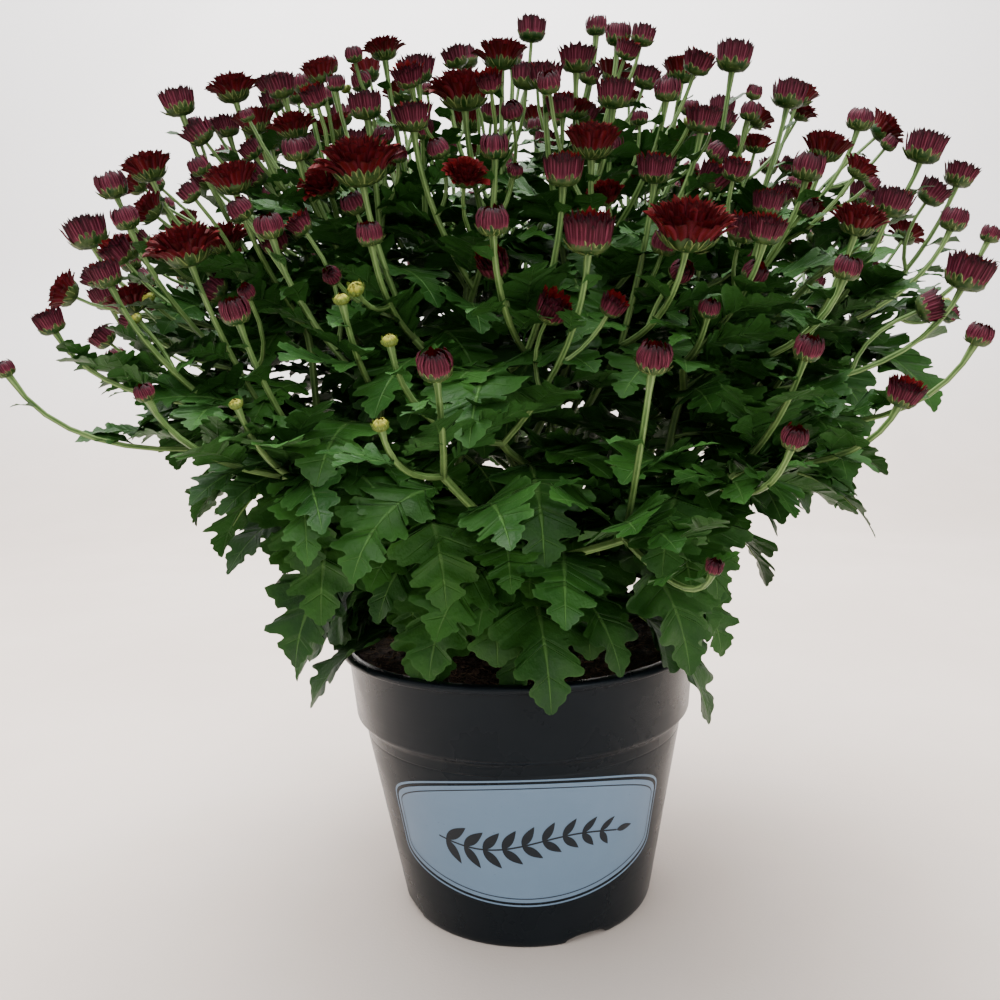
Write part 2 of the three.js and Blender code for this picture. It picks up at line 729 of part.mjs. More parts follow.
// Ends a stem at its fork: a ring of four corners, of which each side takes three.
function skinForks(skin, first, tree, from, radius) {
  if (tree.forks.length === 0) {
    addRing(skin, [tree.end]);
    stitch(skin, first, [skin.points.length - 1]);
    return;
  }
  const wanted = skin.points[first[0]].clone().sub(middleOf(first.map((k) => skin.points[k]))).normalize();
  const onward = middleOf(tree.forks.map((fork) => fork.next)).sub(tree.end).normalize();
  const along = tree.end.clone().sub(from).normalize().add(onward).normalize();
  if (tree.forks.length === 1) {
    const corners = addRing(skin, ring(frameFacing(tree.end, along, wanted), 0, radius, 3));
    stitch(skin, first, corners);
    skinTree(skin, corners, tree.forks[0], tree.end);
    return;
  }
  const [one, other] = tree.forks;
  const frame = frameFacing(tree.end, along, one.next.clone().sub(other.next));
  const corners = addRing(skin, ring(frame, 0, radius, 4));
  stitch(skin, first, startFacing(corners, skin, wanted));
  const [toOne, up, toOther, down] = corners;
  skinTree(skin, [toOne, up, down], one, tree.end);
  skinTree(skin, [toOther, down, up], other, tree.end);
}

function skinShoot(plant) {
  const skin = { points: [], faces: [] };
  const rings = mainStemRings(plant);
  const first = addRing(skin, rings[0]);
  close(skin, [...first].reverse());
  const last = extend(skin, first, rings.slice(1));
  skinForks(skin, last, plant.tree, plant.curve.getPoint(1 - 1 / shoot.nodes), shoot.crownRadius);
  return toSolid(surface(skin));
}

const shoots = makeShoots();
const blooms = [];
const potSolid = makePot();
const soilSolid = makeSoil(shoots.map(stemHole));
note(potSolid);
note(soilSolid);
for (const plant of shoots) {
  const tip = frameAt(plant.curve.v2, plant.curve.getTangent(1), bendSide(plant.curve));
  const rings = [...mainStemRings(plant), ring(tip, 0, shoot.crownRadius, shoot.sides)];
  plant.stem = note(loft(rings));
}
shareHeads(shoots, listHeads());
for (const plant of shoots) {
  plant.tree = { end: plant.curve.v2, forks: growForks(plant.curve.v2, plant.heads, [plant.stem]) };
}

// Main stems carry a leaf between each two of their rings, in a whorl that opens outwards.
for (let node = 0; node < shoot.nodes; node++) {
  for (const plant of shoots) {
    const [low, high] = [node, node + 1].map((k) => plant.curve.getPoint(k / shoot.nodes));
    const round = ((node * goldenAngle + plant.index * 67) % 360) / 180 - 1;
    const bearing = plant.bearing + round * (plant.lean < 15 ? 180 : leaf.whorl);
    growLeaf(plant, [plant.stem], low.lerp(high, 0.5), bearing, node * shoots.length + plant.index + 0.5);
  }
}

// Lists the branches of a tree with the point that each one starts from.
function listBranches(tree) {
  const forks = tree.forks.filter((fork) => fork.forks);
  return forks.flatMap((fork) => [{ fork, from: tree.end }, ...listBranches(fork)]);
}

const branches = shoots.flatMap((plant) => listBranches(plant.tree).map((row) => ({ plant, ...row })));
branches.forEach(({ plant, fork, from }, key) => {
  if (chance(key, 15) >= leaf.share) return;
  const base = from.clone().lerp(fork.end, 0.5);
  const bearing = degrees(Math.atan2(base.y, base.x)) + leaf.astray * (chance(key, 10) - 0.5);
  growLeaf(plant, fork.parts, base, bearing, key);
});

// ---------------------------------------------------------------- the part
function toGeometry(solid) {
  const mesh = solid.getMesh();
  const geometry = new THREE.BufferGeometry();
  geometry.setAttribute('position', new THREE.BufferAttribute(mesh.vertProperties, 3));
  geometry.setIndex(new THREE.BufferAttribute(mesh.triVerts, 1));
  return geometry;
}

function toMesh(name, solid, color, roughness) {
  const geometry = toGeometry(solid);
  geometry.computeVertexNormals();
  const result = new THREE.Mesh(geometry, new THREE.MeshStandardMaterial({ color, roughness, metalness: 0 }));
  result.name = name;
  return result;
}

// Joins a shoot's leaves to its stems. Hollows that the joining seals are filled, loose scraps dropped.
function fuse(plant) {
  const pieces = wasm.Manifold.union([skinShoot(plant), ...plant.leaves]);
  const joined = toSolid(toGeometry(pieces.simplify(fineness)), 1e-3);
  return joined.decompose().reduce((best, body) => (body.volume() > best.volume() ? body : best));
}

const plantGroup = new THREE.Group();
plantGroup.add(toMesh('pot', potSolid, 0x23272b, 0.42));
plantGroup.add(toMesh('soil', soilSolid, 0x2b1d15, 0.95));
shoots.forEach((plant, k) => plantGroup.add(toMesh(`leafy_shoot_${k + 1}`, fuse(plant), 0x2f5a2a, 0.6)));
blooms.forEach((bloom, k) => plantGroup.add(toMesh(`bloom_${k + 1}`, bloom, 0x6d0f1d, 0.6)));

export default plantGroup;
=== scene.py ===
import itertools
import math

import bpy
import numpy as np
from mathutils import Matrix, Vector, noise
from mathutils.kdtree import KDTree


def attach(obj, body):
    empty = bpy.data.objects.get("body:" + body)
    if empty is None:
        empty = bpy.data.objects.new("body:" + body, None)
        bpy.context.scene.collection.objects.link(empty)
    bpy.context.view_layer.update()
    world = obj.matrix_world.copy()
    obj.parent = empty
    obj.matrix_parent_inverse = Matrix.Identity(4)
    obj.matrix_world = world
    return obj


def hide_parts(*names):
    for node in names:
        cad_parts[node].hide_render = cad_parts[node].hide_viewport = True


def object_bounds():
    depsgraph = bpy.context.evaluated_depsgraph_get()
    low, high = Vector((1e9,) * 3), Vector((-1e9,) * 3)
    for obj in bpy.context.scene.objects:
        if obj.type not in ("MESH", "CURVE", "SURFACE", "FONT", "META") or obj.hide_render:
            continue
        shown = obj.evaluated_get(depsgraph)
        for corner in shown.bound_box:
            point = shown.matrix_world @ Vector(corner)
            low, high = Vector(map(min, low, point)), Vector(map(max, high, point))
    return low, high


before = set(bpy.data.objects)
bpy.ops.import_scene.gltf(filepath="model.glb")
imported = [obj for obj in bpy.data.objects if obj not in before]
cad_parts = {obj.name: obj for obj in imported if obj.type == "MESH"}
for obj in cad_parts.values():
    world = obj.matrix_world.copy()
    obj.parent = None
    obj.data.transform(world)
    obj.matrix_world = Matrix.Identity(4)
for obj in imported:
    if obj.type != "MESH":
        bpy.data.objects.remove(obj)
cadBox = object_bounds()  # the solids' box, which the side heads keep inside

# Pot chrysanthemum in a nursery pot. Metres, +Z up, the middle of the pot's foot at the origin.
print("solids loaded:", len(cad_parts))

turn = math.tau
goldenAngle = 137.508


def mix(a, b, share):
    return a + (b - a) * share


def unit(v):
    return v / np.linalg.norm(v)


def chance(a, b):  # a repeatable draw between 0 and 1 for a pair of numbers
    value = math.sin(a * 12.9898 + b * 78.233 + 4.1) * 43758.5453
    return value - math.floor(value)


def stray(width, a, b):  # a repeatable draw of that width round zero
    return width * (chance(a, b) - 0.5)


def upBy(height):
    return np.array([0, 0, height])


def heading(bearing, lean):
    b, l = math.radians(bearing), math.radians(lean)
    return np.array([math.sin(l) * math.cos(b), math.sin(l) * math.sin(b), math.cos(l)])


def angleBetween(a, b):
    return math.acos(max(-1.0, min(1.0, float(a @ b))))


# A bend is a quadratic curve: start, control, end.
def bendPoint(bend, t):
    start, control, end = bend
    return (1 - t) ** 2 * start + 2 * t * (1 - t) * control + t * t * end


def bendPath(bend, steps):
    return [bendPoint(bend, t) for t in np.linspace(0, 1, steps)]


def bendAlong(bend, t):
    start, control, end = bend
    return unit((1 - t) * (control - start) + t * (end - control))


# How the plant grows: the same rules as its solids, so that every stem and head lands on its own one.
dome = {"focus": 0.130, "radius": 0.308, "depthShare": 0.8, "lean": 52}
shootRings = [
    {"count": 1, "foot": 0.002, "lean": 5, "bearing": -90},
    {"count": 5, "foot": 0.013, "lean": 27, "bearing": -78},
    {"count": 8, "foot": 0.026, "lean": 47, "bearing": -97},
]
shootSet = {
    "footHeight": 0.1384, "rise": 0.045, "spread": 0.4, "crownReach": 0.38, "nodes": 4,
    "bearingAstray": 0.3, "leanAstray": 5,
}
forkSet = {"closeReach": 0.82, "wideReach": 0.46, "wide": 17, "radius": 0.002, "slack": 0.00003}
stalkSet = {"upright": 0.55, "approach": 0.42, "found": 0.0001}
stemTries = [  # how far sideways, how far out
    (0, 1), (0.008, 1), (-0.008, 1), (0, 0.95), (0, 1.03), (0.014, 0.97),
    (-0.014, 0.97), (0.006, 0.9), (-0.006, 0.9), (0.022, 0.95), (-0.022, 0.95),
]
headTops = {"young": 0.8, "bud": 0.94, "cup": 0.55, "open": 0.2}
leadingHeads = [  # bearing, lean, reach, width in millimetres, stage
    (-145, 32, 1.06, 16, "cup"), (-142, 28, 1.05, 21, "open"), (-147, 29, 1.0, 13, "cup"),
    (-137, 29, 1.0, 19, "open"), (-121, 33, 1.0, 18, "open"), (-134, 21, 1.02, 10, "bud"),
    (-131, 25, 1.01, 12, "bud"), (-141, 24, 1.02, 11, "bud"), (-110, 32, 1.0, 15, "cup"),
    (-118, 36, 0.98, 12, "bud"), (-123, 18, 1.03, 17, "open"), (-108, 23, 1.0, 16, "cup"),
    (-97, 28, 1.0, 27, "open"), (-102, 35, 1.0, 15, "cup"), (-150, 36, 1.02, 22, "open"),
    (-154, 43, 1.0, 20, "cup"), (-153, 39, 1.02, 15, "bud"), (-136, 44, 1.0, 12, "bud"),
    (-123, 40, 1.0, 21, "open"), (-107, 39, 1.0, 30, "open"), (-123, 47, 1.0, 26, "open"),
    (-115, 45, 0.97, 12, "bud"), (-131, 50, 1.0, 14, "cup"), (-104, 46, 0.96, 11, "bud"),
    (-91, 19, 1.01, 22, "open"), (-84, 28, 1.0, 15, "cup"), (-74, 21, 1.0, 16, "cup"),
    (-59, 18, 1.03, 13, "bud"), (-74, 30, 0.99, 16, "cup"), (-53, 13, 1.04, 11, "bud"),
    (-44, 21, 1.01, 20, "open"), (-42, 25, 1.04, 18, "cup"), (-64, 29, 0.99, 12, "bud"),
    (-34, 29, 1.02, 17, "cup"), (-32, 35, 1.03, 13, "bud"), (-29, 40, 1.05, 19, "cup"),
    (-24, 43, 1.05, 15, "cup"), (-20, 48, 1.02, 10, "bud"), (-31, 46, 1.0, 13, "bud"),
    (-43, 52, 1.0, 20, "cup"), (-40, 43, 0.98, 17, "cup"), (-45, 37, 1.0, 21, "open"),
    (-55, 41, 0.99, 14, "bud"), (-55, 47, 1.0, 20, "open"), (-63, 44, 0.97, 13, "cup"),
    (-68, 49, 1.0, 14, "cup"), (-75, 48, 1.01, 30, "open"), (-84, 49, 1.0, 19, "cup"),
    (-85, 42, 0.99, 16, "cup"), (-74, 40, 0.97, 15, "cup"), (-66, 36, 1.0, 14, "cup"),
    (-80, 36, 0.98, 23, "open"), (-92, 37, 0.97, 12, "bud"), (-61, 52, 0.99, 11, "bud"),
    (-68, 58, 0.98, 11, "bud"), (-62, 62, 1.0, 13, "cup"), (-71, 64, 0.97, 10, "bud"),
    (-50, 58, 1.0, 11, "bud"), (-92, 48, 1.0, 13, "bud"), (-96, 59, 1.0, 13, "bud"),
    (-81, 59, 1.0, 13, "bud"), (-113, 54, 0.99, 12, "bud"), (-136, 54, 1.0, 13, "cup"),
    (-140, 58, 1.0, 9, "bud"), (-119, 60, 0.99, 8, "bud"), (-76, 71, 0.88, 7, "bud"),
    (-100, 56, 0.97, 7, "young"), (-105, 52, 0.96, 7, "young"), (-100, 62, 0.97, 7, "young"),
    (-112, 60, 0.96, 6, "young"), (86, 59, 0.98, 12, "cup"), (112, 57, 0.99, 13, "bud"),
]
otherHeads = {
    "count": 200, "spacing": 0.028, "frontFrom": -0.040, "front": 0.033,
    "reach": (0.88, 1), "lateFrom": 50, "late": 0.25, "leanAstray": 3, "bearingAstray": 8,
}
stages = {  # share of draws up to which it comes, widths in millimetres
    "young": (0.06, (6, 8)), "bud": (0.42, (9, 13)), "cup": (0.8, (13, 18)), "open": (1, (19, 28)),
}
leafRule = {
    "fold": 0.16, "whorl": 110, "whorlStep": 67, "astray": 170, "share": 0.62, "halfThick": 0.000425,
    "grown": (0.88, 1.12), "loose": 16, "roll": 34,
    "inner": {"length": 0.114, "width": 0.064, "lift": 8, "droop": 104},
    "outer": {"length": 0.046, "width": 0.024, "lift": 24, "droop": 78},
}
leafTries = [  # turned by, lifted by, share of the size
    (0, 0, 1), (22, 0, 1), (-22, 0, 1), (0, 14, 0.95), (0, -16, 0.95), (45, 6, 0.95), (-45, 6, 0.95),
    (12, 24, 0.9), (-12, -26, 0.9), (68, 0, 0.9), (-68, 0, 0.9), (30, -30, 0.85), (-30, 34, 0.85),
    (90, 16, 0.8), (-90, 16, 0.8), (0, 46, 0.75),
]


def alongDome(way, reach):
    x, y, z = way * dome["radius"] * reach
    return np.array([x, y * dome["depthShare"], z + dome["focus"]])


def cadPoints(name):  # the corners of a solid, for looking up
    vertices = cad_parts[name].data.vertices
    tree = KDTree(len(vertices))
    for k, vertex in enumerate(vertices):
        tree.insert(vertex.co, k)
    tree.balance()
    return tree


def makeShoots():
    shoots = []
    for row in shootRings:
        for k in range(row["count"]):
            index = len(shoots)
            bearing = row["bearing"] + (k + stray(shootSet["bearingAstray"], index, 1)) * 360 / row["count"]
            lean = row["lean"] + stray(shootSet["leanAstray"], index, 2)
            out, way = heading(bearing, 90) * row["foot"], heading(bearing, lean)
            foot = out + upBy(shootSet["footHeight"])
            control = foot + upBy(shootSet["rise"]) + out * shootSet["spread"]
            curve = (foot, control, alongDome(way, shootSet["crownReach"]))
            shoots.append(dict(index=index, bearing=bearing, lean=lean, foot=foot, curve=curve, way=way,
                               heads=[], leaves=[], stalks=[], branches=[],
                               points=cadPoints(f"leafy_shoot_{index + 1}")))
    return shoots


def newHead(way, reach, width, stage):
    return dict(way=way, reach=reach, width=width / 1000, stage=stage, middle=alongDome(way, reach))


def listHeads():
    heads = [newHead(heading(bearing, lean), *others) for bearing, lean, *others in leadingHeads]
    rule, fall = otherHeads, 1 - math.cos(math.radians(dome["lean"]))
    for k in range(rule["count"]):
        lean = math.degrees(math.acos(1 - (k + 0.5) / rule["count"] * fall)) + stray(rule["leanAstray"], k, 5)
        bearing = k * goldenAngle + stray(rule["bearingAstray"], k, 6)
        draw = chance(k, 7) - (rule["late"] if lean > rule["lateFrom"] else 0)
        stage = next(name for name in stages if draw < stages[name][0])
        width = mix(*stages[stage][1], chance(k, 8))
        head = newHead(heading(bearing, lean), mix(*rule["reach"], chance(k, 9)), width, stage)
        room = rule["front"] if head["middle"][1] < rule["frontFrom"] else rule["spacing"]
        if all(np.linalg.norm(other["middle"] - head["middle"]) >= room for other in heads):
            heads.append(head)
    for k, head in enumerate(heads):
        head["seed"] = k
    return heads


def shareHeads(shoots, heads):
    for head in heads:
        nearest = min(shoots, key=lambda plant: round(angleBetween(plant["way"], head["way"]), 12))
        nearest["heads"].append(head)


def splitHeads(heads):  # parts them in two across the way in which they lie furthest apart
    axis, widest = None, 0
    for k, a in enumerate(heads):
        for b in heads[k + 1:]:
            apart = a["way"] - b["way"]
            if np.linalg.norm(apart) > widest:
                axis, widest = apart, np.linalg.norm(apart)
    ordered = sorted(heads, key=lambda head: -(head["way"] @ axis))
    half = math.ceil(len(ordered) / 2)
    return ordered[:half], ordered[half:]


def stalkBend(start, head, attempt):
    bow, reach = stemTries[attempt]
    facing = unit(mix(head["way"], upBy(1), stalkSet["upright"]))
    sideways = unit(np.array([-facing[1], facing[0], 0]))
    end = alongDome(head["way"], head["reach"] * reach) - 0.5 * head["width"] * facing
    control = end - stalkSet["approach"] * np.linalg.norm(end - start) * facing + sideways * bow
    return start, control, end


def growStalk(plant, start, head):  # the solid shows which of the tries found room
    options = []
    for attempt in range(len(stemTries)):
        curve = stalkBend(start, head, attempt)
        top = curve[2] + bendAlong(curve, 1) * headTops[head["stage"]] * head["width"]
        options.append((plant["points"].find(top)[2], attempt, curve))
    gap, attempt, curve = min(options, key=lambda option: option[0])
    if gap > stalkSet["found"]:
        return None
    stalk = {"start": start, "curve": curve, "head": head}
    plant["stalks"].append(stalk)
    return stalk


def forkPoint(heads, attempt):
    shift, reach = stemTries[attempt]
    way = unit(sum(head["way"] for head in heads) / len(heads))
    spread = max(angleBetween(head["way"], way) for head in heads)
    share = min(spread / math.radians(forkSet["wide"]), 1)
    sideways = unit(np.array([-way[1], way[0], 0]))
    return alongDome(way, mix(forkSet["closeReach"], forkSet["wideReach"], share) * reach) + sideways * shift


def growTree(plant, start, heads):
    if len(heads) == 1:
        return growStalk(plant, start, heads[0])
    for attempt in range(len(stemTries)):
        end = forkPoint(heads, attempt)
        radius, slack = forkSet["radius"], forkSet["slack"]
        corners = [hit for hit in plant["points"].find_range(end, radius + slack) if hit[2] > radius - slack]
        if len(corners) >= 3:
            branch = {"start": start, "end": end, "forks": []}
            plant["branches"].append(branch)
            branch["forks"] = growForks(plant, end, heads)
            return branch
    return None


def growForks(plant, start, heads):
    return [tree for group in splitHeads(heads) if (tree := growTree(plant, start, group))]


def leafSpec(base, bearing, key, attempt):
    turnBy, liftBy, grow = leafTries[attempt]
    out = np.linalg.norm(base - upBy(dome["focus"])) / dome["radius"]
    at = {name: mix(leafRule["inner"][name], leafRule["outer"][name], out) for name in leafRule["inner"]}
    size = mix(*leafRule["grown"], chance(key, 13)) * grow
    loose, roll = leafRule["loose"], leafRule["roll"]
    return dict(base=base, bearing=bearing + turnBy, lift=at["lift"] + stray(loose, key, 14) + liftBy,
                droop=at["droop"] + stray(loose, key, 11), roll=math.radians(stray(roll, key, 12)),
                length=at["length"] * size, width=at["width"] * size, seed=key)


def leafPoints(spec, along, share, fold):  # a blade whose midrib bends down from its lift
    b, start, fall = math.radians(spec["bearing"]), math.radians(spec["lift"]), -math.radians(spec["droop"])
    angle = (start + fall * along)[..., None]
    forth = spec["length"] / fall * (np.sin(angle) - math.sin(start))
    up = spec["length"] / fall * (math.cos(start) - np.cos(angle))
    out, rise = np.array([math.cos(b), math.sin(b), 0]), upBy(1.0)
    normal = rise * np.cos(angle) - out * np.sin(angle)
    side = np.array([-math.sin(b), math.cos(b), 0]) * math.cos(spec["roll"]) + normal * math.sin(spec["roll"])
    half = spec["width"] / 2
    midrib = spec["base"] + out * forth + rise * up
    return midrib + side * share[..., None] * half + normal * fold[..., None] * half


def leafTip(spec):
    b, angle = math.radians(spec["bearing"]), math.radians(spec["lift"] - spec["droop"] / 2)
    normal = np.array([-math.sin(angle) * math.cos(b), -math.sin(angle) * math.sin(b), math.cos(angle)])
    side = np.array([-math.sin(b), math.cos(b), 0])
    facing = normal * math.cos(spec["roll"]) - side * math.sin(spec["roll"])
    end = leafPoints(spec, np.ones(1), np.zeros(1), np.zeros(1))[0]
    return end + facing * leafRule["halfThick"]


def growLeaf(plant, base, bearing, key):
    options = []
    for attempt in range(len(leafTries)):
        spec = leafSpec(base, bearing, key, attempt)
        options.append((plant["points"].find(leafTip(spec))[2], attempt, spec))
    gap, attempt, spec = min(options, key=lambda option: option[0])
    if gap < stalkSet["found"]:
        plant["leaves"].append(spec)


def growPlant():
    shoots = makeShoots()
    shareHeads(shoots, listHeads())
    for plant in shoots:
        plant["forks"] = growForks(plant, plant["curve"][2], plant["heads"])
    for k in range(shootSet["nodes"]):
        for plant in shoots:
            low, high = [bendPoint(plant["curve"], (k + end) / shootSet["nodes"]) for end in (0, 1)]
            swing = ((k * goldenAngle + plant["index"] * leafRule["whorlStep"]) % 360) / 180 - 1
            bearing = plant["bearing"] + swing * (180 if plant["lean"] < 15 else leafRule["whorl"])
            growLeaf(plant, (low + high) / 2, bearing, k * len(shoots) + plant["index"] + 0.5)
    rows = [(plant, branch) for plant in shoots for branch in plant["branches"]]
    for key, (plant, branch) in enumerate(rows):
        if chance(key, 15) < leafRule["share"]:
            base = (branch["start"] + branch["end"]) / 2
            bearing = math.degrees(math.atan2(base[1], base[0])) + stray(leafRule["astray"], key, 10)
            growLeaf(plant, base, bearing, key)
    return shoots


shoots = growPlant()
print("stalks", sum(len(plant["stalks"]) for plant in shoots),
      "branches", sum(len(plant["branches"]) for plant in shoots),
      "leaves", sum(len(plant["leaves"]) for plant in shoots))


# Materials. Every plant sheet carries four numbers at its points, which its material reads as facts.
def tone(r, g, b):
    return (r, g, b, 1)


def fill(tree, node, inputs):  # a link or a value for each of these sockets
    for key, value in dict(inputs).items():
        if isinstance(value, bpy.types.NodeSocket):
            tree.links.new(value, node.inputs[key])
        else:
            node.inputs[key].default_value = value
    return node


def addNode(tree, kind, inputs=(), **settings):
    node = tree.nodes.new(kind)
    for key, value in settings.items():
        setattr(node, key, value)
    return fill(tree, node, inputs)


def compute(tree, operation, *values):
    return addNode(tree, "ShaderNodeMath", enumerate(values), operation=operation).outputs[0]


def times(tree, a, b):
    return compute(tree, "MULTIPLY", a, b)


def between(tree, share, low, high):
    return compute(tree, "MULTIPLY_ADD", share, high - low, low)


def blend(tree, share, a, b, most=None):  # from a to b, or to that much of b
    share = share if most is None else times(tree, share, most)
    return addNode(tree, "ShaderNodeMix", {0: share, 6: a, 7: b}, data_type="RGBA").outputs[2]


def fade(tree, value, low, high):  # 0 below low, 1 above high, or the other way round
    inputs = {"Value": value, "From Min": low, "From Max": high}
    return addNode(tree, "ShaderNodeMapRange", inputs, interpolation_type="SMOOTHSTEP").outputs["Result"]


def ramp(tree, value, stops):
    node = addNode(tree, "ShaderNodeValToRGB", {"Fac": value})
    while len(node.color_ramp.elements) < len(stops):
        node.color_ramp.elements.new(0.5)
    for element, (place, color) in zip(node.color_ramp.elements, stops):
        element.position, element.color = place, color
    return node.outputs["Color"]


def newGroup(name, inputs, outputs):
    group = bpy.data.node_groups.new(name, "ShaderNodeTree")
    for socketName, value in inputs.items():
        socket = group.interface.new_socket(name=socketName, in_out="INPUT", socket_type="NodeSocketFloat")
        socket.default_value = value
    for socketName in outputs:
        group.interface.new_socket(name=socketName, in_out="OUTPUT", socket_type="NodeSocketFloat")
    return group, group.nodes.new("NodeGroupInput"), group.nodes.new("NodeGroupOutput")


def makeMottle():  # soft patches that vary a colour or a gloss
    group, start, end = newGroup("mottle", {"Scale": 60, "Low": 0.35, "High": 0.65}, ["Mask"])
    place = addNode(group, "ShaderNodeTexCoord").outputs["Object"]
    inputs = {"Vector": place, "Scale": start.outputs["Scale"], "Detail": 4, "Roughness": 0.6}
    cloud = addNode(group, "ShaderNodeTexNoise", inputs).outputs["Fac"]
    fill(group, end, {"Mask": fade(group, cloud, start.outputs["Low"], start.outputs["High"])})
    return group


def makeGrain():  # a fine relief for bumps
    group, start, end = newGroup("grain", {"Scale": 900, "Stretch": 1}, ["Height"])
    place = addNode(group, "ShaderNodeTexCoord").outputs["Object"]
    stretch = addNode(group, "ShaderNodeCombineXYZ", {"X": 1, "Y": 1, "Z": start.outputs["Stretch"]})
    inputs = {0: place, 1: stretch.outputs[0]}
    spread = addNode(group, "ShaderNodeVectorMath", inputs, operation="MULTIPLY").outputs[0]
    inputs = {"Vector": spread, "Scale": start.outputs["Scale"], "Detail": 3}
    fill(group, end, {"Height": addNode(group, "ShaderNodeTexNoise", inputs).outputs["Fac"]})
    return group


def makeFacts():  # the four numbers that each plant sheet carries
    group, start, end = newGroup("sheetFacts", {}, ["First", "Second", "Third", "Fourth"])
    color = addNode(group, "ShaderNodeAttribute", attribute_name="facts")
    parts = addNode(group, "ShaderNodeSeparateColor", {"Color": color.outputs["Color"]}).outputs
    fill(group, end, {"First": parts["Red"], "Second": parts["Green"], "Third": parts["Blue"],
                      "Fourth": color.outputs["Alpha"]})
    return group


mottleGroup, grainGroup, factsGroup = makeMottle(), makeGrain(), makeFacts()


def mottle(tree, scale, low, high):
    inputs = {"Scale": scale, "Low": low, "High": high}
    return addNode(tree, "ShaderNodeGroup", inputs, node_tree=mottleGroup).outputs["Mask"]


def grain(tree, scale, stretch=1):
    inputs = {"Scale": scale, "Stretch": stretch}
    return addNode(tree, "ShaderNodeGroup", inputs, node_tree=grainGroup).outputs["Height"]


def readFacts(tree):
    return addNode(tree, "ShaderNodeGroup", node_tree=factsGroup).outputs[:4]


def faceBack(tree):
    return addNode(tree, "ShaderNodeNewGeometry").outputs["Backfacing"]


def newMaterial(name):
    material = bpy.data.materials.new(name)
    material.use_nodes = True
    return material, material.node_tree


def finish(material, look, color, height=None, roughness=None):
    tree = material.node_tree
    inputs = {"Base Color": color, "Roughness": roughness or look["roughness"]}
    if "specular" in look:
        inputs["Specular IOR Level"] = look["specular"]
    if height:
        strength, distance = look["bump"]
        relief = {"Height": height, "Strength": strength, "Distance": distance}
        inputs["Normal"] = addNode(tree, "ShaderNodeBump", relief).outputs["Normal"]
    fill(tree, tree.nodes["Principled BSDF"], inputs)
    return material


leafLook = {
    "dark": tone(0.0090, 0.0410, 0.0064), "fresh": tone(0.0275, 0.0980, 0.0115),
    "vein": tone(0.060, 0.145, 0.032), "margin": tone(0.040, 0.105, 0.024),
    "under": tone(0.022, 0.078, 0.014), "patches": (55, 0.3, 0.7), "puckers": 130, "hair": 700,
    "gloss": (0.42, 0.60), "specular": 0.17, "bump": (0.6, 0.0009),
}


def makeLeafGreen():  # facts: how near the margin, vein, seed, size
    material, tree = newMaterial("leafGreen")
    edge, vein, seed, size = readFacts(tree)
    patches = mottle(tree, *leafLook["patches"])
    color = blend(tree, compute(tree, "ADD", patches, seed), leafLook["dark"], leafLook["fresh"], 0.5)
    rib = times(tree, fade(tree, edge, 0.085, 0.02), 0.85)
    veins = times(tree, fade(tree, vein, 0.7, 1.0), fade(tree, edge, 1.0, 0.2))
    color = blend(tree, veins, color, leafLook["vein"], 0.35)
    color = blend(tree, rib, color, leafLook["vein"])
    color = blend(tree, fade(tree, edge, 0.9, 1.0), color, leafLook["margin"], 0.5)
    color = blend(tree, faceBack(tree), color, leafLook["under"], 0.75)
    hair = times(tree, grain(tree, leafLook["hair"]), 0.4)
    relief = compute(tree, "MULTIPLY_ADD", grain(tree, leafLook["puckers"]), 2.0, hair)
    relief = compute(tree, "MULTIPLY_ADD", veins, -0.7, relief)
    gloss = between(tree, patches, *leafLook["gloss"])
    return finish(material, leafLook, color, compute(tree, "SUBTRACT", relief, rib), gloss)


# Rib colours: shade is painted shade for the rib grooves; light and stalk are the ridge greens of thick and
# thin stems, lightened as painted highlight.
stemLook = {
    "shade": tone(0.040, 0.100, 0.018), "light": tone(0.155, 0.270, 0.070),
    "stalk": tone(0.220, 0.330, 0.115), "wood": tone(0.060, 0.072, 0.022),
    "ribs": 5, "patches": (90, 0.3, 0.7), "fuzz": (1100, 0.4),
    "roughness": 0.5, "specular": 0.3, "bump": (0.4, 0.0004),
}


def makeStemGreen():  # facts: along, round, seed, thickness
    material, tree = newMaterial("stemGreen")
    along, girth, seed, thick = readFacts(tree)
    # The rib mask paints shade into the grooves and highlight onto the ridges; it also feeds the bump.
    ribs = fade(tree, compute(tree, "COSINE", times(tree, girth, turn * stemLook["ribs"])), -0.6, 0.9)
    light = blend(tree, thick, stemLook["stalk"], stemLook["light"])
    patches = mottle(tree, *stemLook["patches"])
    share = compute(tree, "ADD", times(tree, ribs, 0.6), times(tree, patches, 0.35))
    color = blend(tree, share, stemLook["shade"], light)
    low = times(tree, fade(tree, along, 0.3, 0.0), fade(tree, thick, 0.7, 0.9))
    color = blend(tree, low, color, stemLook["wood"], 0.6)
    return finish(material, stemLook, color, compute(tree, "ADD", ribs, grain(tree, *stemLook["fuzz"])))


cupLook = {
    "middle": tone(0.006, 0.034, 0.0035), "margin": tone(0.30, 0.36, 0.12), "tip": tone(0.045, 0.040, 0.018),
    "young": tone(0.20, 0.26, 0.035), "patches": (260, 0.35, 0.65), "fuzz": 1500,
    "roughness": 0.5, "specular": 0.25, "bump": (0.3, 0.0003),
}


def makeCupGreen():  # facts: along, how near the edge, seed, how young
    material, tree = newMaterial("cupGreen")
    along, edge, seed, young = readFacts(tree)
    rim = times(tree, fade(tree, edge, 0.5, 1.0), 0.65)
    color = blend(tree, rim, cupLook["middle"], cupLook["margin"])
    color = blend(tree, mottle(tree, *cupLook["patches"]), color, cupLook["margin"], 0.16)
    color = blend(tree, fade(tree, along, 0.82, 1.0), color, cupLook["tip"], 0.5)
    color = blend(tree, fade(tree, young, 0.5, 1.0), color, cupLook["young"], 0.45)
    return finish(material, cupLook, color, compute(tree, "SUBTRACT", grain(tree, cupLook["fuzz"]), rim))


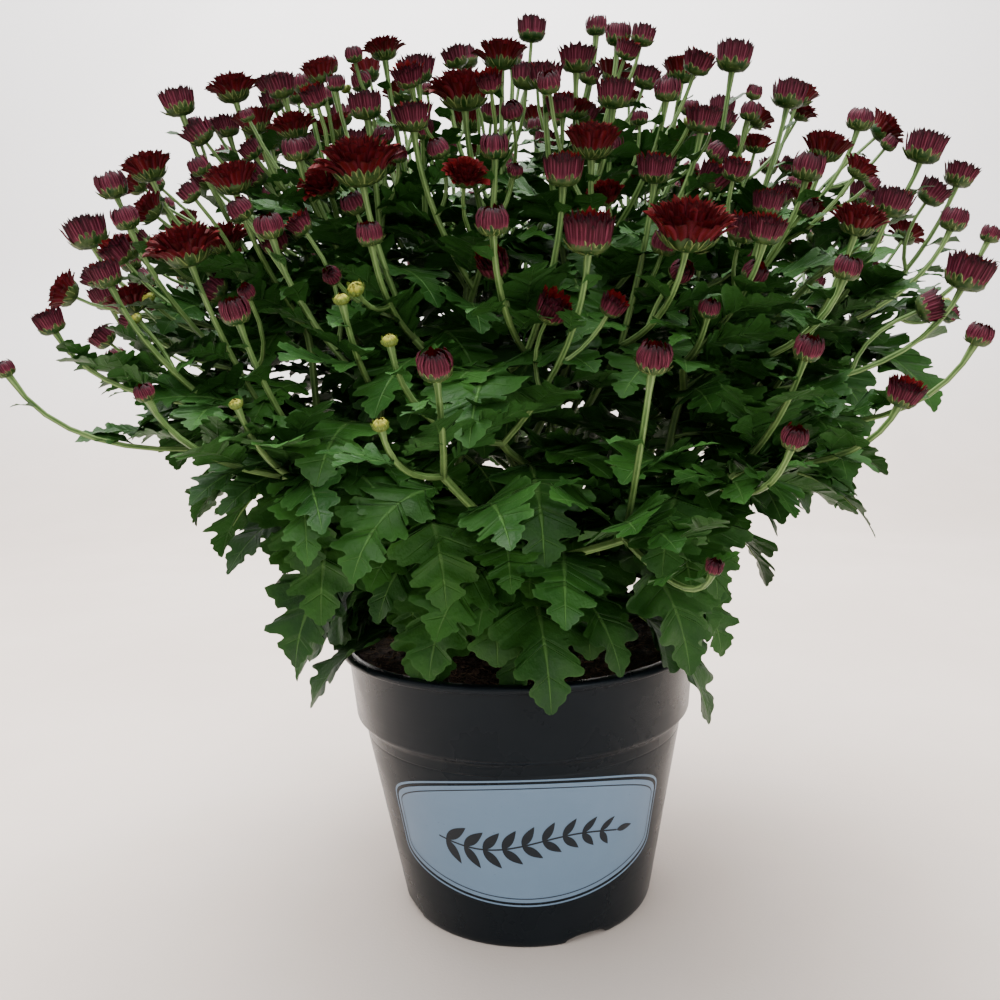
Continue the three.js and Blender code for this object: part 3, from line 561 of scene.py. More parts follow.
floretLook = {  # colours from foot to tip
    "outside": [
        (0.0, tone(0.25, 0.17, 0.10)), (0.17, tone(0.12, 0.020, 0.036)), (0.36, tone(0.050, 0.0030, 0.011)),
        (0.8, tone(0.032, 0.0016, 0.0055)), (0.94, tone(0.010, 0.001, 0.0025)),
        (1.0, tone(0.005, 0.001, 0.002)),
    ],
    "opened": [
        (0.0, tone(0.090, 0.010, 0.010)), (0.3, tone(0.082, 0.0022, 0.004)),
        (0.85, tone(0.070, 0.0018, 0.003)), (1.0, tone(0.022, 0.001, 0.002)),
    ],
    "inside": [
        (0.0, tone(0.018, 0.001, 0.001)), (0.4, tone(0.060, 0.0014, 0.002)), (1.0, tone(0.115, 0.002, 0.003)),
    ],
    # the pale pink for the lines near each floret's edges is partly the florets' paler edge colour, partly
    # painted highlight
    "young": tone(0.16, 0.21, 0.022), "youngRim": tone(0.30, 0.29, 0.040), "paleEdgeAndHighlight": tone(0.22, 0.040, 0.075),
    # painted shade: the near-black colour laid along each floret's edge for the gaps between florets
    "gapShade": tone(0.008, 0.001, 0.003), "lines": (1400, 0.3),
    "roughness": 0.6, "specular": 0.15, "bump": (0.35, 0.0003),
}


def makeFloretRed():  # facts: along, how near the edge, seed, how far it has opened
    material, tree = newMaterial("floretRed")
    along, edge, seed, opened = readFacts(tree)
    sides = ("outside", "opened", "inside")
    closedRed, openRed, insideRed = (ramp(tree, along, floretLook[side]) for side in sides)
    full = fade(tree, opened, 0.6, 1.0)
    outside = blend(tree, full, closedRed, openRed)
    # Pale lines near each floret's edges: partly their own paler edge colour, partly painted highlight; they
    # also sink the bump.
    stripe = times(tree, fade(tree, edge, 0.25, 0.75), fade(tree, edge, 1.0, 0.85))
    stripe = times(tree, stripe, fade(tree, along, 1.0, 0.6))
    faint = compute(tree, "MULTIPLY_ADD", full, -0.3, 0.5)
    outside = blend(tree, stripe, outside, floretLook["paleEdgeAndHighlight"], faint)
    # Painted shade in the gaps between florets, along each floret's edge.
    outside = blend(tree, fade(tree, edge, 0.86, 1.0), outside, floretLook["gapShade"], 0.8)
    green = blend(tree, fade(tree, along, 0.3, 0.75), floretLook["young"], floretLook["youngRim"])
    outside = blend(tree, fade(tree, opened, 0.2, 0.05), outside, green)
    color = blend(tree, faceBack(tree), outside, insideRed)
    shade = compute(tree, "MULTIPLY_ADD", seed, 0.5, 0.7)
    color = addNode(tree, "ShaderNodeVectorMath", {0: color, 3: shade}, operation="SCALE").outputs[0]
    lines = grain(tree, *floretLook["lines"])
    return finish(material, floretLook, color, compute(tree, "SUBTRACT", lines, stripe))


potLook = {
    "color": tone(0.0036, 0.0056, 0.0080), "dusty": tone(0.009, 0.0120, 0.0155),
    "dust": (14, 0.45, 0.8), "specks": (420, 0.66, 0.74), "rubbed": (30, 0.3, 0.7), "gloss": (0.22, 0.34),
    "specular": 0.15, "sheen": tone(0.84, 0.94, 1.0), "flow": (26, 14), "fine": 1600, "bump": (0.12, 0.0004),
}


def makePotPlastic():
    material, tree = newMaterial("potPlastic")
    dust, specks, rubbed = (mottle(tree, *potLook[patches]) for patches in ("dust", "specks", "rubbed"))
    share = compute(tree, "MAXIMUM", times(tree, dust, 0.35), times(tree, specks, 0.4))
    color = blend(tree, share, potLook["color"], potLook["dusty"])
    gloss = between(tree, rubbed, *potLook["gloss"])
    flow, fine = grain(tree, *potLook["flow"]), grain(tree, potLook["fine"])
    fill(tree, tree.nodes["Principled BSDF"], {"Specular Tint": potLook["sheen"]})
    return finish(material, potLook, color, compute(tree, "MULTIPLY_ADD", fine, 0.12, flow), gloss)


inkLook = {
    "panelBlue": (tone(0.142, 0.218, 0.312), tone(0.10, 0.16, 0.235)),
    "printDark": (tone(0.007, 0.010, 0.014), tone(0.02, 0.026, 0.033)),
    "cloud": (22, 0.3, 0.7), "wear": (500, 0.68, 0.72), "flow": (26, 14),
    "roughness": 0.35, "specular": 0.25, "bump": (0.2, 0.0004),
}


def makeInk(name):
    material, tree = newMaterial(name)
    color, worn = inkLook[name]
    color = blend(tree, mottle(tree, *inkLook["cloud"]), color, worn, 0.25)
    color = blend(tree, mottle(tree, *inkLook["wear"]), color, worn, 0.7)
    return finish(material, inkLook, color, grain(tree, *inkLook["flow"]))


peatLook = {
    "dark": tone(0.050, 0.027, 0.018), "dry": tone(0.17, 0.095, 0.062), "crumb": tone(0.36, 0.24, 0.16),
    "clods": (170, 0.35, 0.68), "crumbs": (900, 0.5, 0.72), "rough": 420,
    "roughness": 0.9, "bump": (0.9, 0.0012),
}


def makePeat():
    material, tree = newMaterial("peat")
    crumbs = mottle(tree, *peatLook["crumbs"])
    color = blend(tree, mottle(tree, *peatLook["clods"]), peatLook["dark"], peatLook["dry"])
    color = blend(tree, crumbs, color, peatLook["crumb"], 0.6)
    return finish(material, peatLook, color, compute(tree, "ADD", grain(tree, peatLook["rough"]), crumbs))


fibreLook = {
    "dark": tone(0.12, 0.062, 0.035), "light": tone(0.42, 0.27, 0.165), "patches": (300, 0.3, 0.7),
    "roughness": 0.85,
}


def makeFibreBrown():
    material, tree = newMaterial("fibreBrown")
    color = blend(tree, mottle(tree, *fibreLook["patches"]), fibreLook["dark"], fibreLook["light"])
    return finish(material, fibreLook, color)


clothLook = {
    "low": (tone(0.585, 0.505, 0.450), tone(0.635, 0.555, 0.500)), "high": tone(0.80, 0.785, 0.79),
    "speck": tone(0.55, 0.50, 0.46), "cloud": (3, 0.3, 0.7), "specks": (240, 0.72, 0.8), "weave": 650,
    "roughness": 0.9, "bump": (0.25, 0.0006),
}


def makePaleCloth():
    material, tree = newMaterial("paleCloth")
    place = addNode(tree, "ShaderNodeTexCoord").outputs["Object"]
    height = addNode(tree, "ShaderNodeSeparateXYZ", {"Vector": place}).outputs["Z"]
    color = blend(tree, mottle(tree, *clothLook["cloud"]), *clothLook["low"])
    color = blend(tree, fade(tree, height, 0.0, 0.5), color, clothLook["high"])
    color = blend(tree, mottle(tree, *clothLook["specks"]), color, clothLook["speck"], 0.10)
    return finish(material, clothLook, color, grain(tree, clothLook["weave"]))


leafGreen, stemGreen, cupGreen, floretRed = makeLeafGreen(), makeStemGreen(), makeCupGreen(), makeFloretRed()
potPlastic, peat, fibreBrown, paleCloth = makePotPlastic(), makePeat(), makeFibreBrown(), makePaleCloth()
panelBlue, printDark = makeInk("panelBlue"), makeInk("printDark")
print("materials made")


# Sheets are grids of points, [sheet, row, column, xyz], gathered and made into one mesh.
def newPile():
    return {"points": [], "faces": [], "facts": [], "count": 0}


def addGrids(pile, grids, facts=(0, 0, 0, 0), closed=False):
    sheets, rows, columns = grids.shape[:3]
    i, j = np.arange(rows - 1)[:, None], np.arange(columns if closed else columns - 1)[None, :]
    right = (j + 1) % columns
    below, above = i * columns, (i + 1) * columns
    quads = np.stack([below + j, below + right, above + right, above + j], -1)
    starts = pile["count"] + np.arange(sheets)[:, None, None] * rows * columns
    facts = np.stack([np.broadcast_to(fact, grids.shape[:3]) for fact in facts], -1)
    pile["points"].append(grids.reshape(-1, 3))
    pile["faces"].append((starts + quads.reshape(1, -1, 4)).reshape(-1, 4))
    pile["facts"].append(facts.reshape(-1, 4))
    pile["count"] += sheets * rows * columns


def addObject(name, data):
    thing = bpy.data.objects.new(name, data)
    bpy.context.scene.collection.objects.link(thing)
    return thing


def makePiece(name, pile, material, node):
    points, faces, facts = (np.concatenate(pile[part]) for part in ("points", "faces", "facts"))
    mesh = bpy.data.meshes.new(name)
    mesh.vertices.add(len(points))
    mesh.vertices.foreach_set("co", points.astype(np.float32).ravel())
    mesh.loops.add(faces.size)
    mesh.loops.foreach_set("vertex_index", faces.astype(np.int32).ravel())
    mesh.polygons.add(len(faces))
    mesh.polygons.foreach_set("loop_start", np.arange(len(faces), dtype=np.int32) * 4)
    mesh.polygons.foreach_set("use_smooth", np.ones(len(faces), dtype=bool))
    mesh.update(calc_edges=True)
    mesh.validate()
    layer = mesh.attributes.new("facts", "FLOAT_COLOR", "POINT")
    layer.data.foreach_set("color", facts.astype(np.float32).ravel())
    mesh.materials.append(material)
    piece = addObject(name, mesh)
    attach(piece, "root")
    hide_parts(node)
    return piece


def onAxis(radius, angle, height):  # points round the upright axis
    return np.stack([radius * np.cos(angle), radius * np.sin(angle), height + 0 * angle], -1)


def across(along):  # two ways square to a stem
    helper = np.array([1.0, 0, 0]) if abs(along[0]) < 0.8 else np.array([0, 1.0, 0])
    side = unit(helper - along * (helper @ along))
    return side, np.cross(along, side)


def addTube(pile, path, radii, sides, seed, kind=0.0, ribs=0, ribDepth=0.0):
    path = np.asarray(path)
    alongs = np.gradient(path, axis=0)
    alongs /= np.linalg.norm(alongs, axis=1)[:, None]
    side = across(alongs[0])[0]
    angle = np.arange(sides) * turn / sides
    rings = np.empty((len(path), sides, 3))
    for k, along in enumerate(alongs):
        side = unit(side - along * (side @ along))
        other = np.cross(along, side)
        radius = radii[k] * (1 + ribDepth * np.cos(ribs * angle))
        c, s = (radius * np.cos(angle))[:, None], (radius * np.sin(angle))[:, None]
        rings[k] = path[k] + c * side + s * other
    share = np.linspace(0, 1, len(path))[None, :, None]
    addGrids(pile, rings[None], (share, (angle / turn)[None, None, :], seed, kind), closed=True)


# Heads are made at the origin, one unit wide and growing up +Z, and then set on their stalks.
def placeHead(local, head, along):
    side, other = across(along)
    spin = turn * chance(head["seed"], 21)
    a = side * math.cos(spin) + other * math.sin(spin)
    b = np.cross(along, a)
    width = head["width"]
    return head["end"] + width * (local[..., :1] * a + local[..., 1:2] * b + local[..., 2:3] * along)


def straps(tier, draw, rows, columns):
    count = tier["count"]
    u = np.append(np.linspace(0, 0.84, rows - 1), 1.0)
    v = np.linspace(-1, 1, columns)[None, None, :]
    uneven = floretSet["uneven"]
    bearing = (np.arange(count) + tier.get("shift", 0) + draw.uniform(-uneven, uneven, count)) * turn / count
    lean = mix(*tier["lean"], u ** tier.get("curl", 1.2))[None, :] + draw.normal(0, tier["loose"], (count, 1))
    lean = np.radians(lean)
    length = tier["length"] * draw.uniform(*floretSet["length"], count)[:, None]
    steps = np.diff(u)[None, :]
    middle = (lean[:, 1:] + lean[:, :-1]) / 2
    zero = np.zeros((count, 1))
    radial = tier["foot"][0] + np.concatenate([zero, np.cumsum(np.sin(middle) * steps, 1)], 1) * length
    height = tier["foot"][1] + np.concatenate([zero, np.cumsum(np.cos(middle) * steps, 1)], 1) * length
    swell = tier["neck"] + (1 - tier["neck"]) * np.clip(u / 0.5, 0, 1) ** 0.8
    blunt = np.sqrt(np.clip(1 - (np.clip(u - tier["tip"], 0, 1) / (1 - tier["tip"])) ** 2, 0.006, 1))
    half = (tier["width"] / 2 * swell * blunt)[None, :, None]
    inward = tier["cup"] * v ** 2 * half + draw.uniform(-uneven, uneven, (count, 1, 1)) * v * half
    radial = radial[..., None] - np.cos(lean)[..., None] * inward
    height = height[..., None] + np.sin(lean)[..., None] * inward
    c, s = np.cos(bearing)[:, None, None], np.sin(bearing)[:, None, None]
    grids = np.stack([radial * c - v * half * s, radial * s + v * half * c, height + 0 * v], -1)
    return grids, (u[None, :, None], np.abs(v), draw.uniform(0, 1, (count, 1, 1)))


tierParts = ("count", "foot", "length", "width", "lean", "loose",
             "neck", "tip", "cup", "curl", "shift", "opens")  # left out, the last three are 1.2, 0 and 1
floretTiers = {  # outermost first, for a head one unit wide
    "young": [
        (15, (0.37, 0.14), 0.46, 0.18, (12, -88), 5, 0.9, 0.7, 0.6, 1.1),
        (9, (0.2, 0.3), 0.3, 0.18, (2, -76), 8, 0.9, 0.6, 0.6),
    ],
    "bud": [
        (30, (0.39, 0.13), 0.64, 0.108, (17, -66), 4, 0.8, 0.84, 0.7, 2.0),
        (15, (0.3, 0.17), 0.58, 0.14, (13, -60), 6, 0.8, 0.84, 0.5, 1.8, 0.5),
        (8, (0.15, 0.22), 0.46, 0.14, (8, -40), 6, 0.8, 0.84, 0.4, 1.6),
    ],
    "cup": [
        (32, (0.37, 0.1), 0.54, 0.098, (14, 0), 4, 0.8, 0.86, 0.8),
        (22, (0.31, 0.14), 0.54, 0.105, (13, -2), 5, 0.8, 0.86, 0.7, 1.2, 0.5),
        (15, (0.22, 0.17), 0.53, 0.11, (10, -4), 6, 0.8, 0.86, 0.7),
        (9, (0.12, 0.18), 0.52, 0.11, (6, -5), 6, 0.8, 0.86, 0.7),
        (4, (0.04, 0.18), 0.5, 0.11, (3, -6), 6, 0.8, 0.86, 0.7),
    ],
    "open": [
        (20, (0.3, 0.12), 0.36, 0.135, (26, 36), 8, 0.6, 0.8, 0.5, 0.7, 0, 52),
        (22, (0.28, 0.14), 0.36, 0.12, (22, 30), 8, 0.6, 0.8, 0.5, 0.8, 0.5, 42),
        (22, (0.25, 0.16), 0.36, 0.105, (18, 24), 8, 0.6, 0.8, 0.6, 0.9, 0, 30),
        (21, (0.21, 0.18), 0.36, 0.09, (15, 18), 8, 0.7, 0.8, 0.8, 1.2, 0.5, 18),
        (18, (0.16, 0.19), 0.36, 0.08, (11, 13), 8, 0.7, 0.8, 0.9, 1.2, 0, 10),
        (13, (0.11, 0.2), 0.36, 0.075, (7, 8), 7, 0.8, 0.8, 0.9, 1.2, 0.5, 6),
        (8, (0.05, 0.2), 0.35, 0.07, (3, 3), 6, 0.8, 0.8, 0.9, 1.2, 0, 2),
    ],
}
floretSet = {
    "spread": {"young": (-4, 4), "bud": (-12, 14), "cup": (-6, 20), "open": (0, 1)},
    "tint": {"young": 0.0, "bud": 0.3, "cup": 0.5, "open": 1.0},
    "scales": {"width": 0.17, "neck": 0.9, "tip": 0.1, "cup": 0.4, "loose": 8}, "scaleShare": {"open": 0.62},
    "sideShare": 0.62, "rows": 5, "sideRows": 4, "length": (0.84, 1.06), "uneven": 0.25,
}
cupShapes = {  # the green cup under the florets: height and radius
    "young": [(-0.03, 0.14), (0.02, 0.29), (0.12, 0.39), (0.26, 0.39), (0.34, 0.26), (0.37, 0.02)],
    "bud": [(-0.04, 0.1), (-0.01, 0.22), (0.05, 0.35), (0.14, 0.41), (0.22, 0.41)],
    "cup": [(-0.04, 0.1), (-0.01, 0.22), (0.03, 0.32), (0.1, 0.39), (0.18, 0.39)],
    "open": [(-0.04, 0.09), (-0.01, 0.18), (0.03, 0.26), (0.09, 0.31), (0.17, 0.31)],
}
scaleRows = {  # rows of bracts on it: how many, foot, length, lean
    "young": [(9, (0.14, -0.02), 0.42, (74, 10)), (13, (0.3, 0.03), 0.42, (48, -20))],
    "bud": [(10, (0.14, -0.03), 0.36, (82, 14)), (15, (0.32, 0.01), 0.35, (42, -2))],
    "cup": [(11, (0.12, -0.03), 0.33, (82, 18)), (16, (0.29, 0.0), 0.33, (46, 2))],
    "open": [(12, (0.1, -0.03), 0.24, (84, 24)), (20, (0.23, 0.0), 0.24, (56, 10))],
}


def thinOut(tier, head):  # a small side head has fewer and wider parts
    share = floretSet["sideShare"] if head.get("side") else 1
    return {**tier, "count": round(tier["count"] * share), "width": tier["width"] / share ** 0.8}


def addFlorets(pile, head, along):
    draw = np.random.default_rng(1000 + head["seed"])
    stage = head["stage"]
    rows = floretSet["sideRows" if head.get("side") else "rows"]
    opened = chance(head["seed"], 23)
    for k, row in enumerate(floretTiers[stage]):
        tier = thinOut(dict(zip(tierParts, row)), head)
        wider = tier.get("opens", 1) * mix(*floretSet["spread"][stage], opened)
        tier["lean"] = (tier["lean"][0], tier["lean"][1] + wider)
        wide = stage == "open" and k < 3
        grids, facts = straps(tier, draw, rows + wide - (k > 0), 5 if wide else 3)
        addGrids(pile, placeHead(grids, head, along), (*facts, floretSet["tint"][stage]))


def addCup(pile, head, along):
    draw = np.random.default_rng(2000 + head["seed"])
    angle = np.arange(10) * turn / 10
    stage = head["stage"]
    rows = [onAxis(radius, angle, height) for height, radius in cupShapes[stage]]
    share = np.linspace(0, 1, len(rows))[None, :, None]
    kind = 1.0 if stage == "young" else 0.3
    addGrids(pile, placeHead(np.array(rows)[None], head, along), (share, 0.3, 0.5, kind), closed=True)
    for k, (count, foot, length, lean) in enumerate(scaleRows[stage]):
        scale = dict(floretSet["scales"], count=count, foot=foot, length=length, lean=lean, shift=k / 2)
        scale["width"] *= floretSet["scaleShare"].get(stage, 1)
        grids, facts = straps(thinOut(scale, head), draw, floretSet["sideRows"], 3)
        addGrids(pile, placeHead(grids, head, along), (*facts, kind))


# Leaves: half an outline from stalk to tip, as (way along, share of half the width).
leafOutlines = {
    "lobed": [
        (0.0, 0.03), (0.1, 0.028), (0.17, 0.04), (0.2, 0.18), (0.215, 0.38), (0.245, 0.48), (0.27, 0.43),
        (0.285, 0.52), (0.31, 0.53), (0.32, 0.45), (0.328, 0.4), (0.338, 0.46), (0.342, 0.58),
        (0.348, 0.7), (0.372, 0.79), (0.394, 0.74), (0.402, 0.88), (0.428, 0.98), (0.458, 0.95),
        (0.465, 0.82), (0.485, 0.86), (0.507, 0.8), (0.508, 0.66), (0.501, 0.52), (0.5, 0.45),
        (0.512, 0.41), (0.53, 0.46), (0.545, 0.57), (0.56, 0.7), (0.587, 0.79), (0.608, 0.73),
        (0.62, 0.86), (0.65, 0.95), (0.68, 0.91), (0.684, 0.76), (0.706, 0.77), (0.722, 0.67),
        (0.714, 0.53), (0.708, 0.44), (0.717, 0.37), (0.735, 0.4), (0.75, 0.48), (0.775, 0.58),
        (0.8, 0.55), (0.815, 0.63), (0.842, 0.6), (0.847, 0.47), (0.842, 0.36), (0.845, 0.29),
        (0.854, 0.25), (0.868, 0.28), (0.885, 0.36), (0.91, 0.36), (0.918, 0.27), (0.94, 0.26),
        (0.958, 0.18), (0.966, 0.12), (0.985, 0.1), (0.998, 0.02),
    ],
    "small": [
        (0.0, 0.04), (0.12, 0.05), (0.2, 0.15), (0.25, 0.4), (0.3, 0.46), (0.335, 0.35), (0.37, 0.46),
        (0.4, 0.74), (0.45, 0.95), (0.5, 0.94), (0.517, 0.7), (0.52, 0.42), (0.56, 0.5), (0.59, 0.74),
        (0.65, 0.86), (0.695, 0.77), (0.703, 0.54), (0.71, 0.38), (0.75, 0.45), (0.8, 0.54), (0.84, 0.44),
        (0.85, 0.27), (0.9, 0.32), (0.945, 0.2), (0.998, 0.02),
    ],
    "bract": [
        (0.0, 0.3), (0.15, 0.45), (0.4, 0.9), (0.6, 1.0), (0.8, 0.7), (0.93, 0.3), (0.998, 0.02),
    ],
}
leafSet = {
    "veinSlant": 0.22, "wave": (0.14, 0.06), "crease": 0.045, "midribRadius": 0.0013, "fuller": 1.14,
    "plans": [  # from which length on, outline, points across, rounds of smoothing
        (0.090, "lobed", 5, 1), (0.040, "lobed", 3, 0), (0.019, "small", 3, 0), (0, "bract", 3, 0),
    ],
}


def leafTemplate(name, columns, rounds):
    half = np.array(leafOutlines[name])
    for _ in range(rounds):  # rounds off the corners
        a, b = half[:-1], half[1:]
        cut = np.stack([a * 0.75 + b * 0.25, a * 0.25 + b * 0.75], 1).reshape(-1, 2)
        half = np.concatenate([half[:1], cut, half[-1:]])
    along, reach = half[:, 0], half[:, 1]
    rib = np.maximum.accumulate(along - leafSet["veinSlant"] * reach)
    rib = 0.85 * np.clip(rib, 0, 1) + 0.15 * np.linspace(0, 1, len(rib)) * along[-1]
    t = np.linspace(1, -1, columns)[None, :]
    edge = np.abs(t) + 0 * reach[:, None]
    tips = np.zeros(len(reach))  # a vein runs to each
    tips[1:-1] = (reach[1:-1] >= reach[:-2]) & (reach[1:-1] > reach[2:]) & (reach[1:-1] > 0.3)
    veins = np.broadcast_to(tips[:, None], (len(reach), columns))
    return rib[:, None] + (along - rib)[:, None] * np.abs(t), reach[:, None] * t, edge, veins


leafPlans = [(least, leafTemplate(*plan)) for least, *plan in leafSet["plans"]]


def addLeaf(pile, spec):
    along, share, edge, veins = next(plan for least, plan in leafPlans if spec["length"] >= least)
    wide = np.abs(share)
    seed = chance(spec["seed"], 31)
    slow, quick = leafSet["wave"]
    wave = slow * np.sin(along * 17 + share * 3 + seed * 20)
    wave = (wave + quick * np.sin(along * 43 - share * 5 + seed * 9)) * wide
    crease = leafSet["crease"] * veins * edge * (1 - edge)
    fold = leafRule["fold"] * (1.25 * wide - 0.5 * wide ** 2) + wave - crease  # the blade's halves rise
    spec = {**spec, "width": spec["width"] * leafSet["fuller"]}
    grid = leafPoints(spec, along, share, fold)
    size = min(spec["length"] / 0.11, 1)
    addGrids(pile, grid[None], (edge[None], veins[None], seed, size))


def addMidrib(pile, spec):
    along = np.linspace(0, 0.8, 9)
    path = leafPoints(spec, along, np.zeros(9), np.full(9, -0.02))
    radii = leafSet["midribRadius"] * mix(1.0, 0.25, along / 0.8) * min(spec["length"] / 0.1, 1)
    addTube(pile, path, radii, 6, chance(spec["seed"], 32), kind=0.35)


stemSet = {
    "foot": 0.0033, "crown": 0.0024, "branch": (0.0021, 0.0016), "stalk": (0.00135, 0.00105),
    "flare": 1.5, "ribs": 8, "ribDepth": 0.06, "buried": (0.006, 0.003), "leafShare": 0.8,
    "stalkLeaves": ((0.05, 0.048), (0.22, 0.039), (0.4, 0.028), (0.6, 0.020), (0.82, 0.011)),
    "branchLeaves": (0.12, 0.4, 0.68, 0.97), "branchLeaf": (0.096, 0.034),
}
skirtSet = {
    "count": 17, "radius": (0.026, 0.040), "height": (0.176, 0.206), "length": (0.080, 0.106),
    "bearing": -92, "astray": 40, "lift": 22, "droop": 108, "roll": 30, "seed": 7000,
}


def hermite(start, end, startWay, endWay, steps):
    reach = np.linalg.norm(end - start)
    t = np.linspace(0, 1, steps)[:, None]
    return ((2 * t ** 3 - 3 * t ** 2 + 1) * start + (t ** 3 - 2 * t ** 2 + t) * reach * startWay
            + (-2 * t ** 3 + 3 * t ** 2) * end + (t ** 3 - t ** 2) * reach * endWay)


smallLeafSet = {
    "astray": 150, "lift": 30, "droop": 40, "roll": 60, "length": (0.8, 1.2), "width": (0.42, 0.58),
    "onStalk": (40, 50), "onBranch": (28, 70), "onSide": (30, 60),  # lift and droop
}


def smallLeaf(base, way, key, length, where):
    rule = smallLeafSet
    lift, droop = rule[where]
    bearing = math.degrees(math.atan2(way[1], way[0])) + stray(rule["astray"], key, 41)
    return dict(base=base, bearing=bearing, lift=lift + stray(rule["lift"], key, 42),
                droop=droop + stray(rule["droop"], key, 43), roll=math.radians(stray(rule["roll"], key, 44)),
                length=length * mix(*rule["length"], chance(key, 45)),
                width=length * mix(*rule["width"], chance(key, 46)), seed=key)


sideHeadSet = {
    "places": ((0.3, 1), (0.46, -1), (0.62, 1)), "share": 0.72, "tries": 12, "reach": (0.020, 0.062),
    "outward": 0.5, "limit": (0.92, 1.02), "inside": 0.008, "lowest": 0.56, "crownFrom": 0.62,
    "crown": {"young": 0.06, "bud": 0.32, "cup": 0.74, "open": 1},  # share of draws up to which it comes
    "skirts": {"young": 0.22, "bud": 0.75, "cup": 1},
    "widths": {"young": (0.006, 0.008), "bud": (0.007, 0.0115), "cup": (0.010, 0.015),
               "open": (0.014, 0.021)},
    "stalk": (0.0010, 0.0008), "leaf": 0.016,
}
headPlaces = []  # the middle and the width of every head so far
for plant in shoots:
    for stalk in plant["stalks"]:
        head = stalk["head"]
        head["end"] = stalk["curve"][2]
        headPlaces.append((head["end"] + 0.4 * head["width"] * bendAlong(stalk["curve"], 1), head["width"]))


def isClear(place, room):
    return all(np.linalg.norm(place - other) > room + 0.6 * width for other, width in headPlaces)


def addClearLeaf(pile, spec):  # only where it meets no head
    at = leafPoints(spec, np.array([0.45, 0.7, 0.95]), np.zeros(3), np.zeros(3))
    if all(isClear(point, 0.002) for point in at):
        addLeaf(pile, spec)


def addSideHead(piles, curve, share, side, key):  # a smaller head on its own stalk beside a main one
    rule = sideHeadSet
    start, along = bendPoint(curve, share), bendAlong(curve, share)
    a, b = across(along)
    low, high = np.array(cadBox[0]) + rule["inside"], np.array(cadBox[1]) - rule["inside"]
    for attempt in range(rule["tries"]):
        spin = turn * chance(key, 61 + attempt * 0.37)
        out = side * (a * math.cos(spin) + b * math.sin(spin))
        reach = mix(*rule["reach"], chance(key, 62 + attempt * 0.29))
        end = start + reach * unit(along + rule["outward"] * out)
        place = (end - upBy(dome["focus"])) / (dome["radius"] * np.array([1, dome["depthShare"], 1]))
        mixture = rule["crown" if place[2] > rule["crownFrom"] else "skirts"]
        stage = next(name for name in mixture if chance(key, 63) < mixture[name])
        width = mix(*rule["widths"][stage], chance(key, 64))
        limit = mix(*rule["limit"], min(max((place[2] - rule["lowest"]) / 0.25, 0), 1))
        inside = np.all(end > low) and np.all(end < high) and rule["lowest"] < place[2]
        if inside and np.linalg.norm(place) < limit and isClear(end, 0.5 * width + 0.001):
            break
    else:
        return
    stalk = (start, start + 0.5 * reach * unit(along * 0.6 + out), end)
    way = bendAlong(stalk, 1)
    headPlaces.append((end + 0.3 * width * way, width))
    head = {"end": end, "stage": stage, "width": width, "seed": int(key * 10), "side": True}
    addTube(piles["stems"], bendPath(stalk, 6), np.linspace(*rule["stalk"], 6), 5, chance(key, 65), kind=0.1)
    addCup(piles["cups"], head, way)
    addFlorets(piles["closed_florets"], head, way)
    addLeaf(piles["leaves"], smallLeaf(start, out, key, rule["leaf"], "onSide"))


def skirtLeaves(plant):  # the lowest leaves, which hang over the lip
    skirt = skirtSet
    for k in range(plant["index"], skirt["count"], len(shoots)):
        bearing = skirt["bearing"] + k * goldenAngle
        radius, height = mix(*skirt["radius"], chance(k, 71)), mix(*skirt["height"], chance(k, 72))
        yield dict(base=heading(bearing, 90) * radius + upBy(height),
                   bearing=bearing + stray(skirt["astray"], k, 73), lift=skirt["lift"], droop=skirt["droop"],
                   roll=math.radians(stray(skirt["roll"], k, 74)), seed=skirt["seed"] + k,
                   length=mix(*skirt["length"], chance(k, 75)),
                   width=mix(*skirt["length"], chance(k, 76)) * 0.6)


def dressStalk(piles, stalk, key):
    curve, head = stalk["curve"], stalk["head"]
    along = bendAlong(curve, 1)
    radii = np.linspace(*stemSet["stalk"], 10)
    radii[-1] *= stemSet["flare"]
    addTube(piles["stems"], bendPath(curve, 10), radii, 6, chance(key, 51), kind=0.2)
    addCup(piles["cups"], head, along)
    if head["stage"] != "open":
        addFlorets(piles["closed_florets"], head, along)
    for share, length in stemSet["stalkLeaves"]:
        if chance(key, 52 + share) < stemSet["leafShare"]:
            spec = smallLeaf(bendPoint(curve, share), bendAlong(curve, share), key + share, length, "onStalk")
            addClearLeaf(piles["leaves"], spec)
    for k, (share, side) in enumerate(sideHeadSet["places"]):
        if chance(key, 60 + k) < sideHeadSet["share"]:
            addSideHead(piles, curve, share, side, key + 0.1 * k)


def forkEnd(fork):
    return fork["end"] if "end" in fork else fork["curve"][2]


def dressForks(piles, keys, start, startWay, forks, radius):
    for fork in forks:
        key = next(keys)
        if "head" in fork:
            dressStalk(piles, fork, key)
            continue
        end = fork["end"]
        chord = unit(end - start)
        endWay = unit(chord + 0.6 * unit(sum(unit(forkEnd(other) - end) for other in fork["forks"])))
        path = hermite(start, end, unit(startWay * 0.5 + chord), endWay, 9)
        thick, thin = stemSet["branch"]
        addTube(piles["stems"], path, np.linspace(min(thick, radius), thin, 9), 10, chance(key, 53),
                kind=0.5, ribs=5, ribDepth=stemSet["ribDepth"])
        out = np.linalg.norm(end - upBy(dome["focus"])) / dome["radius"]
        size = mix(*stemSet["branchLeaf"], min(out, 1))
        for share in stemSet["branchLeaves"]:
            spec = smallLeaf(path[int(share * 8)], chord, key + share, size, "onBranch")
            addClearLeaf(piles["leaves"], spec)
        dressForks(piles, keys, end, endWay, fork["forks"], thin)


shootParts = {
    "stems": (stemGreen, "foliage"), "leaves": (leafGreen, "foliage"), "cups": (cupGreen, "foliage"),
    "closed_florets": (floretRed, "petals"),
}


